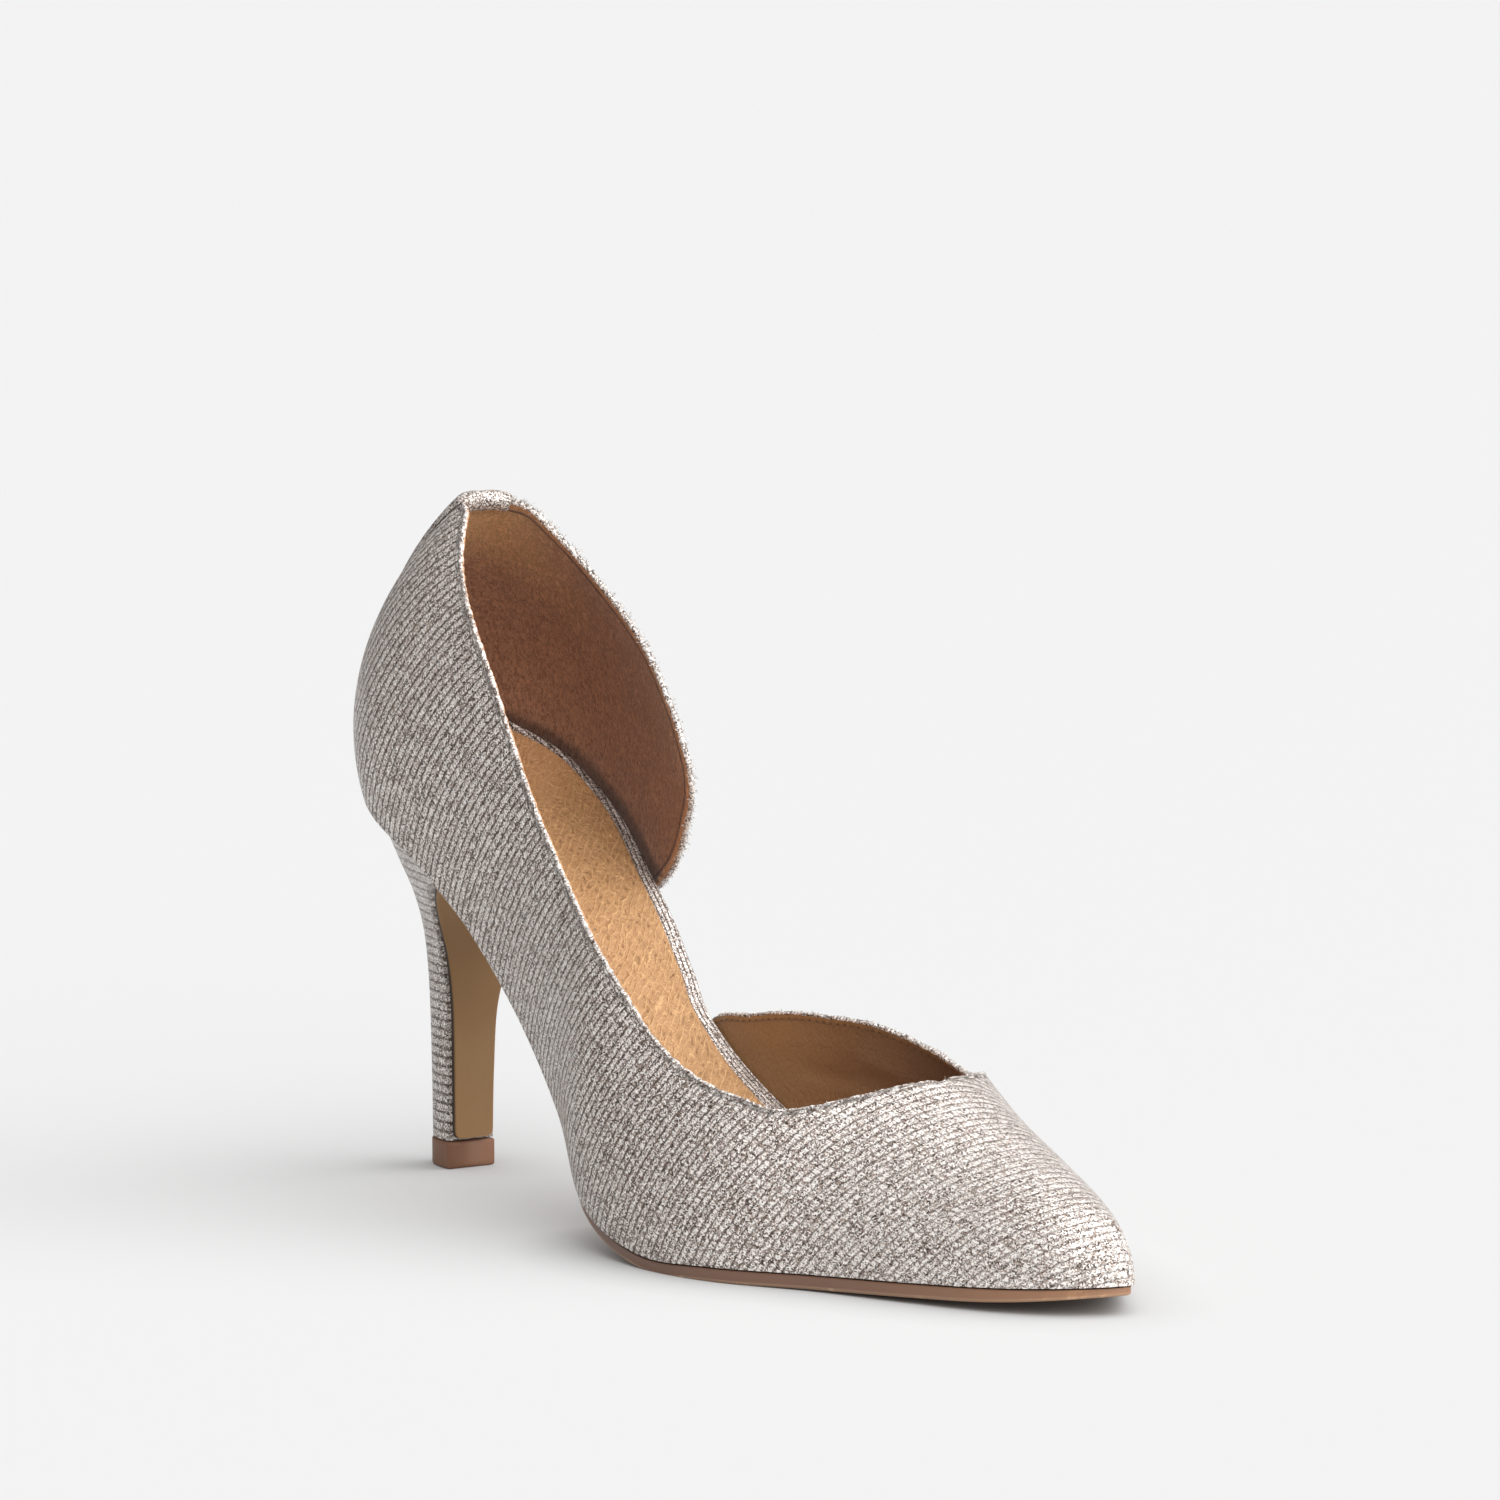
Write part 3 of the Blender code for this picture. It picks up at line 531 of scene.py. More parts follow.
class Paint:
    """Short way to write a material's nodes."""

    def __init__(self, name, **sockets):
        self.material = bpy.data.materials.new(name)
        self.material.use_nodes = True
        self.tree = self.material.node_tree
        self.shader = self.tree.nodes["Principled BSDF"]
        self.finish(**sockets)

    def set(self, node, socket, value):
        target = node.inputs[socket]
        if isinstance(value, bpy.types.NodeSocket):
            self.tree.links.new(value, target)
        elif target.type == "RGBA":
            target.default_value = (*value, 1.0)
        else:
            target.default_value = value

    def node(self, kind, inputs, **settings):
        node = self.tree.nodes.new("ShaderNode" + kind)
        for name, value in settings.items():
            setattr(node, name, value)
        for socket, value in inputs.items():
            self.set(node, socket, value)
        return node

    def math(self, operation, *values):
        return self.node("Math", dict(enumerate(values)), operation=operation).outputs[0]

    def times(self, first, second):
        return self.math("MULTIPLY", first, second)

    def plus(self, value, share, weight):
        """A value with a weighted share on top."""
        return self.math("MULTIPLY_ADD", share, weight, value)

    def between(self, value, start, end):
        """Smooth step of a value from 0 at start to 1 at end."""
        inputs = {"Value": value, "From Min": start, "From Max": end}
        return self.node("MapRange", inputs, interpolation_type="SMOOTHSTEP").outputs[0]

    def off_middle(self, value):
        """How far a running number is from the middle between two whole numbers."""
        return self.math("ABSOLUTE", self.math("SUBTRACT", self.math("FRACT", value), 0.5))

    def either_way(self, value):
        """Place of a running number between two whole numbers, from -1 to 1."""
        return self.math("SUBTRACT", self.times(self.math("FRACT", value), 2.0), 1.0)

    def dome(self, value):
        """1 in the middle and 0 at both ends of -1 to 1."""
        return self.math("SUBTRACT", 1.0, self.times(value, value))

    def mix(self, share, first, second):
        inputs = {0: share, 6: first, 7: second}
        return self.node("Mix", inputs, data_type="RGBA").outputs[2]

    def stain(self, colour, share, name):
        weight, other = STAINS[name]
        return self.mix(self.times(share, weight), colour, other)

    def weave(self):
        """The three pattern values of the mesh."""
        found = self.node("Attribute", {}, attribute_name="weave")
        return self.node("SeparateXYZ", {0: found.outputs["Vector"]}).outputs

    def place(self):
        return self.node("TexCoord", {}).outputs["Object"]

    def along_shoe(self):
        """Place along the shoe, in metres from its middle."""
        return self.node("SeparateXYZ", {0: self.place()}).outputs[0]

    def noise(self, name, stretch=(1.0, 1.0, 1.0), twist=0.0):
        scale, detail, roughness = NOISE[name]
        where = self.node("Mapping", {"Vector": self.place(), "Scale": stretch}).outputs[0]
        inputs = {"Vector": where, "Scale": scale, "Detail": detail, "Roughness": roughness,
                  "Distortion": twist}
        return self.node("TexNoise", inputs).outputs[0]

    def random(self, cell, dimensions):
        """A random number for each cell."""
        socket = {"1D": "W", "2D": "Vector"}[dimensions]
        return self.node("TexWhiteNoise", {socket: cell}, noise_dimensions=dimensions).outputs["Value"]

    def pair(self, first, second):
        return self.node("CombineXYZ", {0: first, 1: second}).outputs[0]

    def shaken(self, vector, scale, amount):
        """A vector moved about by noise."""
        noise = self.node("TexNoise", {"Vector": vector, "Scale": scale, "Detail": 2.0}).outputs["Color"]
        centred = self.node("VectorMath", {0: noise, 1: (0.5, 0.5, 0.5)}, operation="SUBTRACT").outputs[0]
        shift = self.node("VectorMath", {0: centred, "Scale": amount}, operation="SCALE").outputs[0]
        return self.node("VectorMath", {0: vector, 1: shift}, operation="ADD").outputs[0]

    def bump(self, height, name):
        distance, strength = BUMPS[name]
        inputs = {"Height": height, "Strength": strength, "Distance": distance * MM}
        return self.node("Bump", inputs).outputs[0]

    def finish(self, **sockets):
        for socket, value in sockets.items():
            self.set(self.shader, socket.replace("_", " "), value)
        return self.material


# The knit: how far stitches slant, how ragged a cord's sides are, glitter specks for each metre, and how
# much of a stitch's height is left where it meets the next
STITCH_SLANT = 0.4
RAGGED = 0.5
SPECK = 3900.0
STITCH_LOW = 0.5
# Parts of the gleam: by stitch, by speck, and painted light towards the toe
GLEAM = {"stitch": 0.15, "speck": 0.85, "toe": 0.065}
# How dark the painted shade in the grooves is at the back, and its change to the toe, where painted light
# lifts it
GROOVE_SHADE = 0.95
TOE_GROOVE_LIT = -0.42
# Roughness of plain thread, and the change of it in a spark
KNIT_ROUGH = 0.45
SPARK_ROUGH = -0.2


def knit():
    """Metallic rib knit: weave is the cord number, the stitch number along it, and the edge's distance.

    A cord is a row of slanted stitches of glittering thread with painted glints, and a groove painted dark
    as shade to the next cord. Painted light brightens it towards the toe, and a painted highlight the rim's
    fold.
    """
    paint = Paint("knit", Metallic=0.2, Specular_IOR_Level=0.6)
    cord_at, stitch_at, edge = paint.weave()
    cord = paint.math("FLOOR", cord_at)
    across = paint.either_way(cord_at)
    off = paint.math("ABSOLUTE", across)
    stitch = paint.plus(paint.math("ADD", stitch_at, paint.random(cord, "1D")), across, STITCH_SLANT)
    tone = paint.random(paint.pair(cord, paint.math("FLOOR", stitch)), "2D")
    bead = paint.dome(paint.either_way(stitch))
    relief = paint.times(paint.dome(off), paint.plus(STITCH_LOW, bead, 1 - STITCH_LOW))
    cells = paint.node("TexVoronoi", {"Vector": paint.place(), "Scale": SPECK}).outputs["Color"]
    specks = paint.node("SeparateColor", {0: cells}).outputs
    groove = paint.between(paint.plus(off, paint.math("SUBTRACT", specks[1], 0.5), RAGGED), *GROOVE_SIDE)
    # Painted light: brighter thread and lighter grooves towards the toe
    toe = paint.between(paint.along_shoe(), *TOE_PAINTED_LIGHT)
    gleam = paint.plus(paint.times(specks[0], GLEAM["speck"]), tone, GLEAM["stitch"])
    gleam = paint.plus(gleam, toe, GLEAM["toe"])
    # Specks with the highest gleam are painted white as glints of the metallic thread
    painted_glint = paint.between(gleam, *GLINT_GLEAM)
    colour = paint.mix(paint.between(gleam, *PLAIN_GLEAM), THREAD_DARK, THREAD_LIGHT)
    colour = paint.mix(painted_glint, colour, PAINTED_GLINT)
    # Painted highlight of sparkling thread on the fold and the rim's highest crumbs
    colour = paint.stain(colour, paint.times(paint.between(edge, *FOLD), specks[1]), "fold")
    # Where two stitches meet, painted shade darkens the thread
    colour = paint.stain(colour, paint.between(bead, *PINCH), "pinch_shade")
    # Painted shade fills the groove between cords
    colour = paint.mix(paint.times(groove, paint.plus(GROOVE_SHADE, toe, TOE_GROOVE_LIT)), colour, SEAM_AND_SHADE_BROWN)
    # Dark seam line beside the fold; on the rim it is painted shade between the crumbs
    seam = paint.math("SUBTRACT", paint.between(edge, *SEAM_IN), paint.between(edge, *SEAM_OUT))
    colour = paint.stain(colour, seam, "seam")
    height = paint.plus(relief, groove, RISE["groove"])
    height = paint.plus(height, specks[2], RISE["speck"])
    height = paint.plus(height, seam, RISE["seam"])
    roughness = paint.plus(KNIT_ROUGH, painted_glint, SPARK_ROUGH)
    return paint.finish(Base_Color=colour, Roughness=roughness, Normal=paint.bump(height, "knit"))


# Distance of each lining's sewn line from the edge, and length of its stitches
SUEDE_STITCH = (1.5, 2.4)
LINING_STITCH = (0.7, 1.7)


def edge_stitches(paint, along, edge, depth, pitch):
    """Two shares: the sewn line at a depth from the edge, and the threads of its stitches."""
    line = paint.between(paint.math("ABSOLUTE", paint.math("SUBTRACT", edge, depth)), *SEWN)
    thread = paint.between(paint.off_middle(paint.math("DIVIDE", along, pitch)), *THREAD)
    return line, paint.times(line, thread)


def suede():
    """Napped lining of the heel counter, golden with painted light at the back of the topline and with
    painted shadow along its foot.

    Its weave is the distance along the topline from the back, the height over the insole's rim,
    and the distance of the edge.
    """
    paint = Paint("suede", Roughness=0.9, Sheen_Weight=0.25, Sheen_Roughness=0.5)
    along, over_bed, edge = paint.weave()
    nap = paint.between(paint.noise("nap", stretch=(1.0, 1.0, 0.55), twist=1.2), *NAP)
    colour = paint.mix(paint.noise("suede_cloud"), *CLOUDY["suede"])
    # Golden painted light high on the counter at the back
    painted_light_patch = paint.times(paint.between(paint.along_shoe(), *LIT_BACK), paint.between(edge, *LIT_DEPTH))
    colour = paint.stain(colour, painted_light_patch, "painted_light_patch")
    colour = paint.stain(colour, paint.between(edge, *SUEDE_RIM), "suede_rim")
    # Painted shade between the nap's hairs
    colour = paint.stain(colour, paint.math("SUBTRACT", 1.0, nap), "nap_shade")
    colour = paint.stain(colour, nap, "nap_tips")
    # Painted shadow low on the suede where it meets the insole
    colour = paint.stain(colour, paint.between(over_bed, *SUEDE_FOOT_SHADOW), "suede_stitch_and_shadow")
    line, _ = edge_stitches(paint, along, edge, *SUEDE_STITCH)
    colour = paint.stain(colour, line, "suede_stitch_and_shadow")
    height = paint.plus(nap, line, RISE["suede_sewn"])
    return paint.finish(Base_Color=colour, Normal=paint.bump(height, "suede"))


# Wrinkles of the vamp's lining: lines for each metre, their stretch along the axes, and their wavering
WRINKLES = 800.0
WRINKLE_STRETCH = (1.2, 0.8, 0.45)
WRINKLE_SHAKE = 0.0016


def lining_leather():
    """Smooth lining of the vamp, with fine wrinkles darkened by painted shade, painted light towards the
    back, and a row of stitches under its edge.

    Its weave is the same as that of the suede.
    """
    paint = Paint("lining_leather", Roughness=0.50, Coat_Weight=0.05, Coat_Roughness=0.4)
    along, _, edge = paint.weave()
    where = paint.shaken(paint.place(), WRINKLES / 2, WRINKLE_SHAKE)
    where = paint.node("Mapping", {"Vector": where, "Scale": WRINKLE_STRETCH}).outputs[0]
    cells = paint.node("TexVoronoi", {"Vector": where, "Scale": WRINKLES}, feature="DISTANCE_TO_EDGE")
    wrinkle = paint.between(cells.outputs["Distance"], *WRINKLE)
    colour = paint.mix(paint.noise("lining_cloud"), *CLOUDY["lining"])
    # Painted light: the lining is lighter towards the back
    colour = paint.stain(colour, paint.between(paint.along_shoe(), *WING_PAINTED_LIGHT), "wing_painted_light")
    # Painted shade in the wrinkles' creases
    colour = paint.stain(colour, wrinkle, "wrinkle")
    colour = paint.stain(colour, paint.between(edge, *LINING_RIM), "lining_rim")
    line, thread = edge_stitches(paint, along, edge, *LINING_STITCH)
    colour = paint.stain(colour, line, "lining_sewn")
    colour = paint.stain(colour, thread, "lining_thread")
    height = paint.times(paint.noise("lining_pores"), RISE["lining_pores"])
    height = paint.plus(height, wrinkle, RISE["wrinkle"])
    height = paint.plus(height, line, RISE["lining_sewn"])
    height = paint.plus(height, thread, RISE["lining_thread"])
    return paint.finish(Base_Color=colour, Normal=paint.bump(height, "lining"))


# Lattice of the sock's grain: cells for each millimetre across and along the sock, counted two ways, how
# finely and how far they waver, and how finely the lines between them break off
CELL_RUN = (0.444, -0.097)
CELL_ROW = (0.338, 0.441)
CELL_SHAKE = (0.55, 2.0)
CELL_BREAKS = 0.8


def lattice(paint, across, along):
    """Shares of lines around the grain's cells, of the ridges below them, and of pores in some cells."""
    run, row = [paint.plus(paint.times(across, right), along, ahead)
                for right, ahead in (CELL_RUN, CELL_ROW)]
    where = paint.pair(run, row)
    run, row, _ = paint.node("SeparateXYZ", {0: paint.shaken(where, *CELL_SHAKE)}).outputs
    pick = paint.random(paint.pair(paint.math("FLOOR", run), paint.math("FLOOR", row)), "2D")
    off_run, off_row = paint.off_middle(run), paint.off_middle(row)
    noise = paint.node("TexNoise", {"Vector": where, "Scale": CELL_BREAKS}).outputs[0]
    broken = paint.between(noise, *BROKEN)
    line = paint.math("MAXIMUM", paint.between(off_row, *ROW_LINE),
                      paint.times(paint.between(off_run, *CROSS_LINE), broken))
    ridge = paint.math("MAXIMUM", paint.between(off_row, *ROW_RIDGE),
                       paint.times(paint.between(off_run, *CROSS_RIDGE), broken))
    away = paint.math("ADD", paint.times(off_run, off_run), paint.times(off_row, off_row))
    return line, ridge, paint.times(paint.between(away, *PORE), paint.between(pick, *PORE_PICK))


def sock_leather():
    """Grained camel leather: raised folds that run across the foot, pale with a painted highlight, and dark
    pores between them; painted light makes it lighter towards the heel.

    Its weave is the distance across and along the sock, and how near the heel it is.
    """
    paint = Paint("sock_leather", Roughness=0.48)
    across, along, heel = paint.weave()
    fold, ridge, pores = lattice(paint, across, along)
    colour = paint.mix(paint.noise("sock_cloud"), *CLOUDY["sock"])
    colour = paint.stain(colour, paint.between(paint.noise("mottle"), *MOTTLE), "mottle")
    # Painted highlight along the raised folds
    colour = paint.stain(colour, fold, "sock_fold_highlight")
    colour = paint.stain(colour, pores, "pore")
    # Painted light: the sock is lighter towards the heel
    colour = paint.stain(colour, heel, "sock_heel_painted_light")
    height = paint.plus(paint.times(pores, RISE["pore"]), ridge, RISE["sock_ridge"])
    height = paint.math("ADD", paint.between(paint.noise("grain"), *GRAIN), height)
    return paint.finish(Base_Color=colour, Normal=paint.bump(height, "sock"))


# Wear without and with a scuff: at the tip of the toe, and on the lower corner
TIP_WEAR = (0.1, 0.7)
LINE_WEAR = (0.25, 0.55)


def sole_leather():
    """Satin painted edge, with a worn pale line along its lower corner, and a plain underside.

    Its weave is the height up the edge, nothing, and 1 on the underside.
    """
    paint = Paint("sole_leather", Roughness=0.36, Specular_IOR_Level=0.5)
    height, _, under = paint.weave()
    cloud = paint.noise("sole_cloud")
    scuff = paint.between(paint.noise("scuff"), *SCUFF)
    x = paint.along_shoe()
    colour = paint.mix(cloud, *CLOUDY["sole"])
    colour = paint.stain(colour, paint.between(x, *TOE_TAN), "toe_tan")
    for spot, (plain, scuffed), name in ((paint.between(x, *SOLE_TIP), TIP_WEAR, "sole_tip"),
                                         (paint.between(height, *SOLE_LINE), LINE_WEAR, "sole_line")):
        colour = paint.stain(colour, paint.times(spot, paint.plus(plain, scuff, scuffed)), name)
    colour = paint.stain(colour, paint.between(height, *SOLE_TOP), "sole_top")
    colour = paint.mix(under, colour, paint.mix(cloud, *CLOUDY["underside"]))
    return paint.finish(Base_Color=colour, Normal=paint.bump(paint.noise("sole_fine"), "sole"))


def cover_leather():
    """Matte panel of the heel, dark along its edge. The third value of its weave is the edge's distance."""
    paint = Paint("cover_leather", Roughness=0.62)
    _, _, edge = paint.weave()
    colour = paint.mix(paint.noise("cover_cloud"), *CLOUDY["cover"])
    colour = paint.stain(colour, paint.between(edge, *PANEL_EDGE), "cover_edge")
    return paint.finish(Base_Color=colour, Normal=paint.bump(paint.noise("cover_grain"), "cover"))


def tip_rubber():
    paint = Paint("tip_rubber", Roughness=0.55)
    colour = paint.mix(paint.noise("tip_cloud"), *CLOUDY["tip"])
    return paint.finish(Base_Color=colour, Normal=paint.bump(paint.noise("tip_fine"), "tip"))


# The upper

# Columns of each patch, rows up the wall and around the rim, how often the rim's directions are averaged,
# and how many of its rows the knit covers
SIDE_COLUMNS = 170
THROAT_COLUMNS = 36
WING_COLUMNS = 60
TOE_COLUMNS = 70
QUARTER_COLUMNS = 90
ROWS = 44
RIM_ROWS = 10
RIM_SMOOTH = 12
KNIT_RIM = {"quarter": 8, "lateral": 5, "wing": 9}
# Patches lined with leather instead of suede, and the section where that starts on the lateral topline
LEATHER = ("wing", "toe_lateral", "toe_medial")
LEATHER_FROM = 9.5
# The wall is thinner by this share at its free edge, over this distance.
EDGE_THIN = 0.32
EDGE_TAPER = 6.0
# From this section on, the columns draw together towards the throat.
THROAT_START = 9.5
THROAT_DRAW = 1.6
# Points measured at a time
CHUNK = 2000


def spread(stations, edge):
    """Grid of stations and shares from the feather edge up to an edge line."""
    steps = np.linspace(0, 1, ROWS + 1)
    return np.repeat(stations[:, None], len(steps), 1), edge[:, None] * steps[None, :]


def toward_throat(start, count):
    """Stations that draw closer together towards the throat."""
    share = np.linspace(0, 1, count + 1)
    return start + (THROAT - start) * (1 - (1 - share) ** THROAT_DRAW)


def upper_grids():
    """Stations, shares and side of each patch of the upper, by name."""
    side = np.linspace(0, THROAT_START, SIDE_COLUMNS + 1)[:-1]
    throat = toward_throat(THROAT_START, THROAT_COLUMNS)
    lateral = np.concatenate([side, throat])
    wing = np.concatenate([np.linspace(WING_END, THROAT_START, WING_COLUMNS + 1)[:-1], throat])
    toe = np.linspace(THROAT, TOE, TOE_COLUMNS + 1)
    share_along = np.linspace(0, 1, QUARTER_COLUMNS + 1)
    share_up = np.linspace(0, 1, ROWS + 1)
    stations = share_along[:, None] * spline(QUARTER_FRONT, share_up)[None, :]
    edge = spline(QUARTER_TOPLINE, share_along * QUARTER_TOPLINE[-1][0])
    return {
        "lateral": (*spread(lateral, spline(LATERAL_TOPLINE, lateral)), -1),
        "wing": (*spread(wing, spline(WING_TOPLINE, wing)), 1),
        "toe_lateral": (*spread(toe, np.ones_like(toe)), -1),
        "toe_medial": (*spread(toe, np.ones_like(toe)), 1),
        "quarter": (stations, edge[:, None] * share_up[None, :], 1),
    }


def wall_depth(stations, shares, edge):
    """Thickness of the wall, which thins out at the nose and towards the free edge."""
    nose = 1 - NOSE_THIN * ramp(stations, *NOSE) * shares ** 2
    return WALL * nose * (1 - EDGE_THIN * (1 - ramp(edge, 0, EDGE_TAPER)))


def girth(stations, side):
    """Length of the whole section curve on one side."""
    shares = np.linspace(0, 1, CURVE_STEPS)
    return arc(last(stations[:, None], shares[None, :], side), 1)[:, -1]


def cord_number(points):
    """Number of the knit's cord at each point; around the back the cords climb towards the seam."""
    x, y, z = np.moveaxis((points - np.array(CORDS_FROM)) / 100, -1, 0)
    field = (CORDS["x"] * x + CORDS["z"] * z + CORDS["xx"] * x * x + CORDS["xz"] * x * z
             + CORDS["zz"] * z * z + CORDS["yy"] * y * y)
    middle = SECTIONS[0][SECTION.index("mid")] * BALL_WIDTH / 100
    near = np.clip(1 - np.abs(points[..., 1] - middle) / SEAM_REACH, 0, 1) * (points[..., 0] < BACK_REACH)
    return field - SEAM_CLIMB * SEAM_REACH / 2 * near ** 2


def topline(grids):
    """Free edge of the upper, from the quarter's foot round the back and the throat to the wing's foot."""
    parts = []
    s, v, side = grids["quarter"]
    parts.append((s[-1, :], v[-1, :], side))
    parts.append((s[-2::-1, -1], v[-2::-1, -1], side))
    s, v, side = grids["lateral"]
    parts.append((s[1:, -1], v[1:, -1], side))
    s, v, side = grids["wing"]
    parts.append((s[-2::-1, -1], v[-2::-1, -1], side))
    outer = np.concatenate([last(s, v, side) for s, v, side in parts])
    inner = np.concatenate([skin(s, v, side, wall_depth(s, v, 0)) for s, v, side in parts])
    normal = np.concatenate([outward(s, v, side) for s, v, side in parts])
    turns = np.cumsum([len(part[0]) for part in parts])
    leather = turns[1] + np.searchsorted(parts[2][0], LEATHER_FROM)
    spans = (("quarter", 0, turns[1], 0), ("lateral", turns[1], leather, 0),
             ("lateral", leather, turns[2], 1), ("wing", turns[2], turns[3], 1))
    return outer, inner, normal, spans


def smooth(rows, times):
    """Average each row with its neighbours, keeping both ends."""
    for _ in range(times):
        middle = (rows[:-2] + 2 * rows[1:-1] + rows[2:]) / 4
        rows = np.vstack([rows[:1], middle, rows[-1:]])
    return rows


def edge_distance(points, line):
    """Distance of each point from a line, and how far along the line that is."""
    flat = points.reshape(-1, 3)
    length = arc(line[:, None], 0)[:, 0]
    run = unit(np.gradient(line, axis=0))
    gap, along = np.empty(len(flat)), np.empty(len(flat))
    for start in range(0, len(flat), CHUNK):
        part = slice(start, start + CHUNK)
        away = flat[part, None] - line[None]
        near = np.linalg.norm(away, axis=-1).argmin(1)
        offset = away[np.arange(len(near)), near]
        forward = np.sum(offset * run[near], -1)
        gap[part] = np.sqrt(np.maximum(np.sum(offset ** 2, -1) - forward ** 2, 0))
        along[part] = length[near] + forward
    return gap.reshape(points.shape[:-1]), along.reshape(points.shape[:-1])


# Soft wrinkles of the vamp's lining: where each starts and ends on the inner side, as a section number
# and a share of the way up, its half width and how far it stands out from the wall.
CREASE = ("from_section", "from_share", "to_section", "to_share", "width", "height")
CREASES = (
    (7.9, 0.19, 9.2, 0.24, 1.4, 0.40),
    (8.0, 0.29, 9.5, 0.35, 1.6, 0.35),
    (8.8, 0.24, 9.8, 0.30, 1.2, 0.35),
    (7.4, 0.14, 8.3, 0.27, 1.8, -0.35),
    (9.0, 0.12, 10.2, 0.20, 1.6, 0.30),
)
# A wrinkle fades between these shares of its length from its far end, and between these distances
# from the free edge.
CREASE_FADE = (0.75, 1.05)
CREASE_CLEAR = (2.0, 6.0)
CREASE_STEPS = 24


def crease_height(points):
    """How far the wrinkles stand out at each point of the lining."""
    height = np.zeros(points.shape[:-1])
    for values in CREASES:
        row = dict(zip(CREASE, values))
        way = np.linspace(0, 1, CREASE_STEPS)
        stations = row["from_section"] + (row["to_section"] - row["from_section"]) * way
        shares = row["from_share"] + (row["to_share"] - row["from_share"]) * way
        gap, _ = edge_distance(points, last(stations, shares, 1))
        start, end = last(stations[[0, -1]], shares[[0, -1]], 1)
        span = np.linalg.norm(start - end)
        far_end = np.maximum(*(np.linalg.norm(points - place, axis=-1) for place in (start, end)))
        inside = 1 - ramp(far_end / span, *CREASE_FADE)
        height += row["height"] * np.exp(-(gap / row["width"]) ** 2) * inside
    return height


def make_upper():
    """Knit face and lining of the upper, with a crumbly rolled rim between them along the free edge."""
    grids = upper_grids()
    outer_line, inner_line, normal, spans = topline(grids)
    length = arc(outer_line[:, None], 0)
    back = length[np.argmin(outer_line[:, 0])]
    cover, lining = Piece(), Piece()
    for name, (s, v, side) in grids.items():
        outer = last(s, v, side)
        gap, _ = edge_distance(outer, outer_line)
        depth = wall_depth(s, v, gap)
        if name == "wing":
            depth = depth + crease_height(outer) * ramp(gap, *CREASE_CLEAR)
        inner = skin(s, v, side, depth)
        climb = arc(outer, 1)
        if name in ("wing", "toe_medial"):
            climb = (girth(s[:, 0], -1) + girth(s[:, 0], 1))[:, None] - climb
        cover.add(outer, np.stack([cord_number(outer), climb / BEAD, gap], -1), flip=side > 0)
        gap, along = edge_distance(inner, inner_line)
        over_bed = climb - INSOLE - spline(HEEL_CUP, s)
        weave = np.stack([along - back, over_bed, gap], -1)
        lining.add(inner, weave, flip=side < 0, kind=int(name in LEATHER))
    middle = (outer_line + inner_line) / 2
    reach = (outer_line - inner_line) / 2
    run = unit(smooth(np.gradient(outer_line, axis=0), RIM_SMOOTH))
    out = unit(smooth(-np.cross(run, normal), RIM_SMOOTH)) * np.linalg.norm(reach, axis=1, keepdims=True)
    angle = np.linspace(0, np.pi, RIM_ROWS + 1)
    turn = middle[:, None] + reach[:, None] * np.cos(angle)[:, None] + out[:, None] * np.sin(angle)[:, None]
    length = np.repeat(length, RIM_ROWS + 1, 1)
    make_fibres(turn, length, spans)
    turn, length, middle = finer(turn), finer(length), finer(middle[:, None])
    crumb = crumbs(length[:, 0], angle)
    turn = turn + unit(turn - middle) * (crumb * CRUMB)[..., None]
    cord = 0.5 + RIM_ROUND * (angle / np.pi - 0.5)
    weave = np.stack([np.repeat(cord[None], len(turn), 0), length / RIM_BEAD, CRUMB_SHADE * (1 - crumb)], -1)
    inside = np.stack([length - back, FAR + 0 * length, 0 * length], -1)
    for name, start, end, kind in spans:
        rows, part = KNIT_RIM[name], slice(start * RIM_FINE, end * RIM_FINE + 1)
        cover.add(turn[part, :rows + 1], weave[part, :rows + 1])
        lining.add(turn[part, rows:], inside[part, rows:], kind=kind)
    cover.build("upper_cover", [KNIT], "upper", "upper_knit")
    lining.build("upper_lining", [suede(), lining_leather()], "upper", "upper_knit")


# The knit's rim is crumbly: finer steps along it, distance and height of the crumbs, how far the lowest
# sink into painted shade while the highest get a painted highlight, where their three rows lie as shares
# of the rim's turn, and how far they spread, in radians
RIM_FINE = 4
CRUMB_RUN = 0.75
CRUMB = 0.42
CRUMB_SHADE = 0.7
CRUMB_ROWS = (0.25, 0.5, 0.75)
CRUMB_SPREAD = 0.6
CRUMB_SEED = 11


def finer(rows):
    """Rows with RIM_FINE steps for each one."""
    at = np.arange((len(rows) - 1) * RIM_FINE + 1) / RIM_FINE
    k = np.minimum(at.astype(int), len(rows) - 2)
    t = (at - k).reshape((-1,) + (1,) * (rows.ndim - 1))
    return rows[k] * (1 - t) + rows[k + 1] * t


def crumbs(length, angle):
    """Height of the crumbs from 0 to 1 along and around the rim; none at its two sides."""
    places = np.pi * np.array(CRUMB_ROWS)
    at = (length - length.min()) / CRUMB_RUN
    k = at.astype(int)
    heights = np.random.default_rng(CRUMB_SEED).uniform(0, 1, (k.max() + 2, len(places)))
    t = ramp(at - k, 0, 1)[:, None]
    along = heights[k] * (1 - t) + heights[k + 1] * t
    around = np.exp(-((angle[None] - places[:, None]) / CRUMB_SPREAD) ** 2)
    return along @ (around / around.sum(0)) * np.sin(angle)


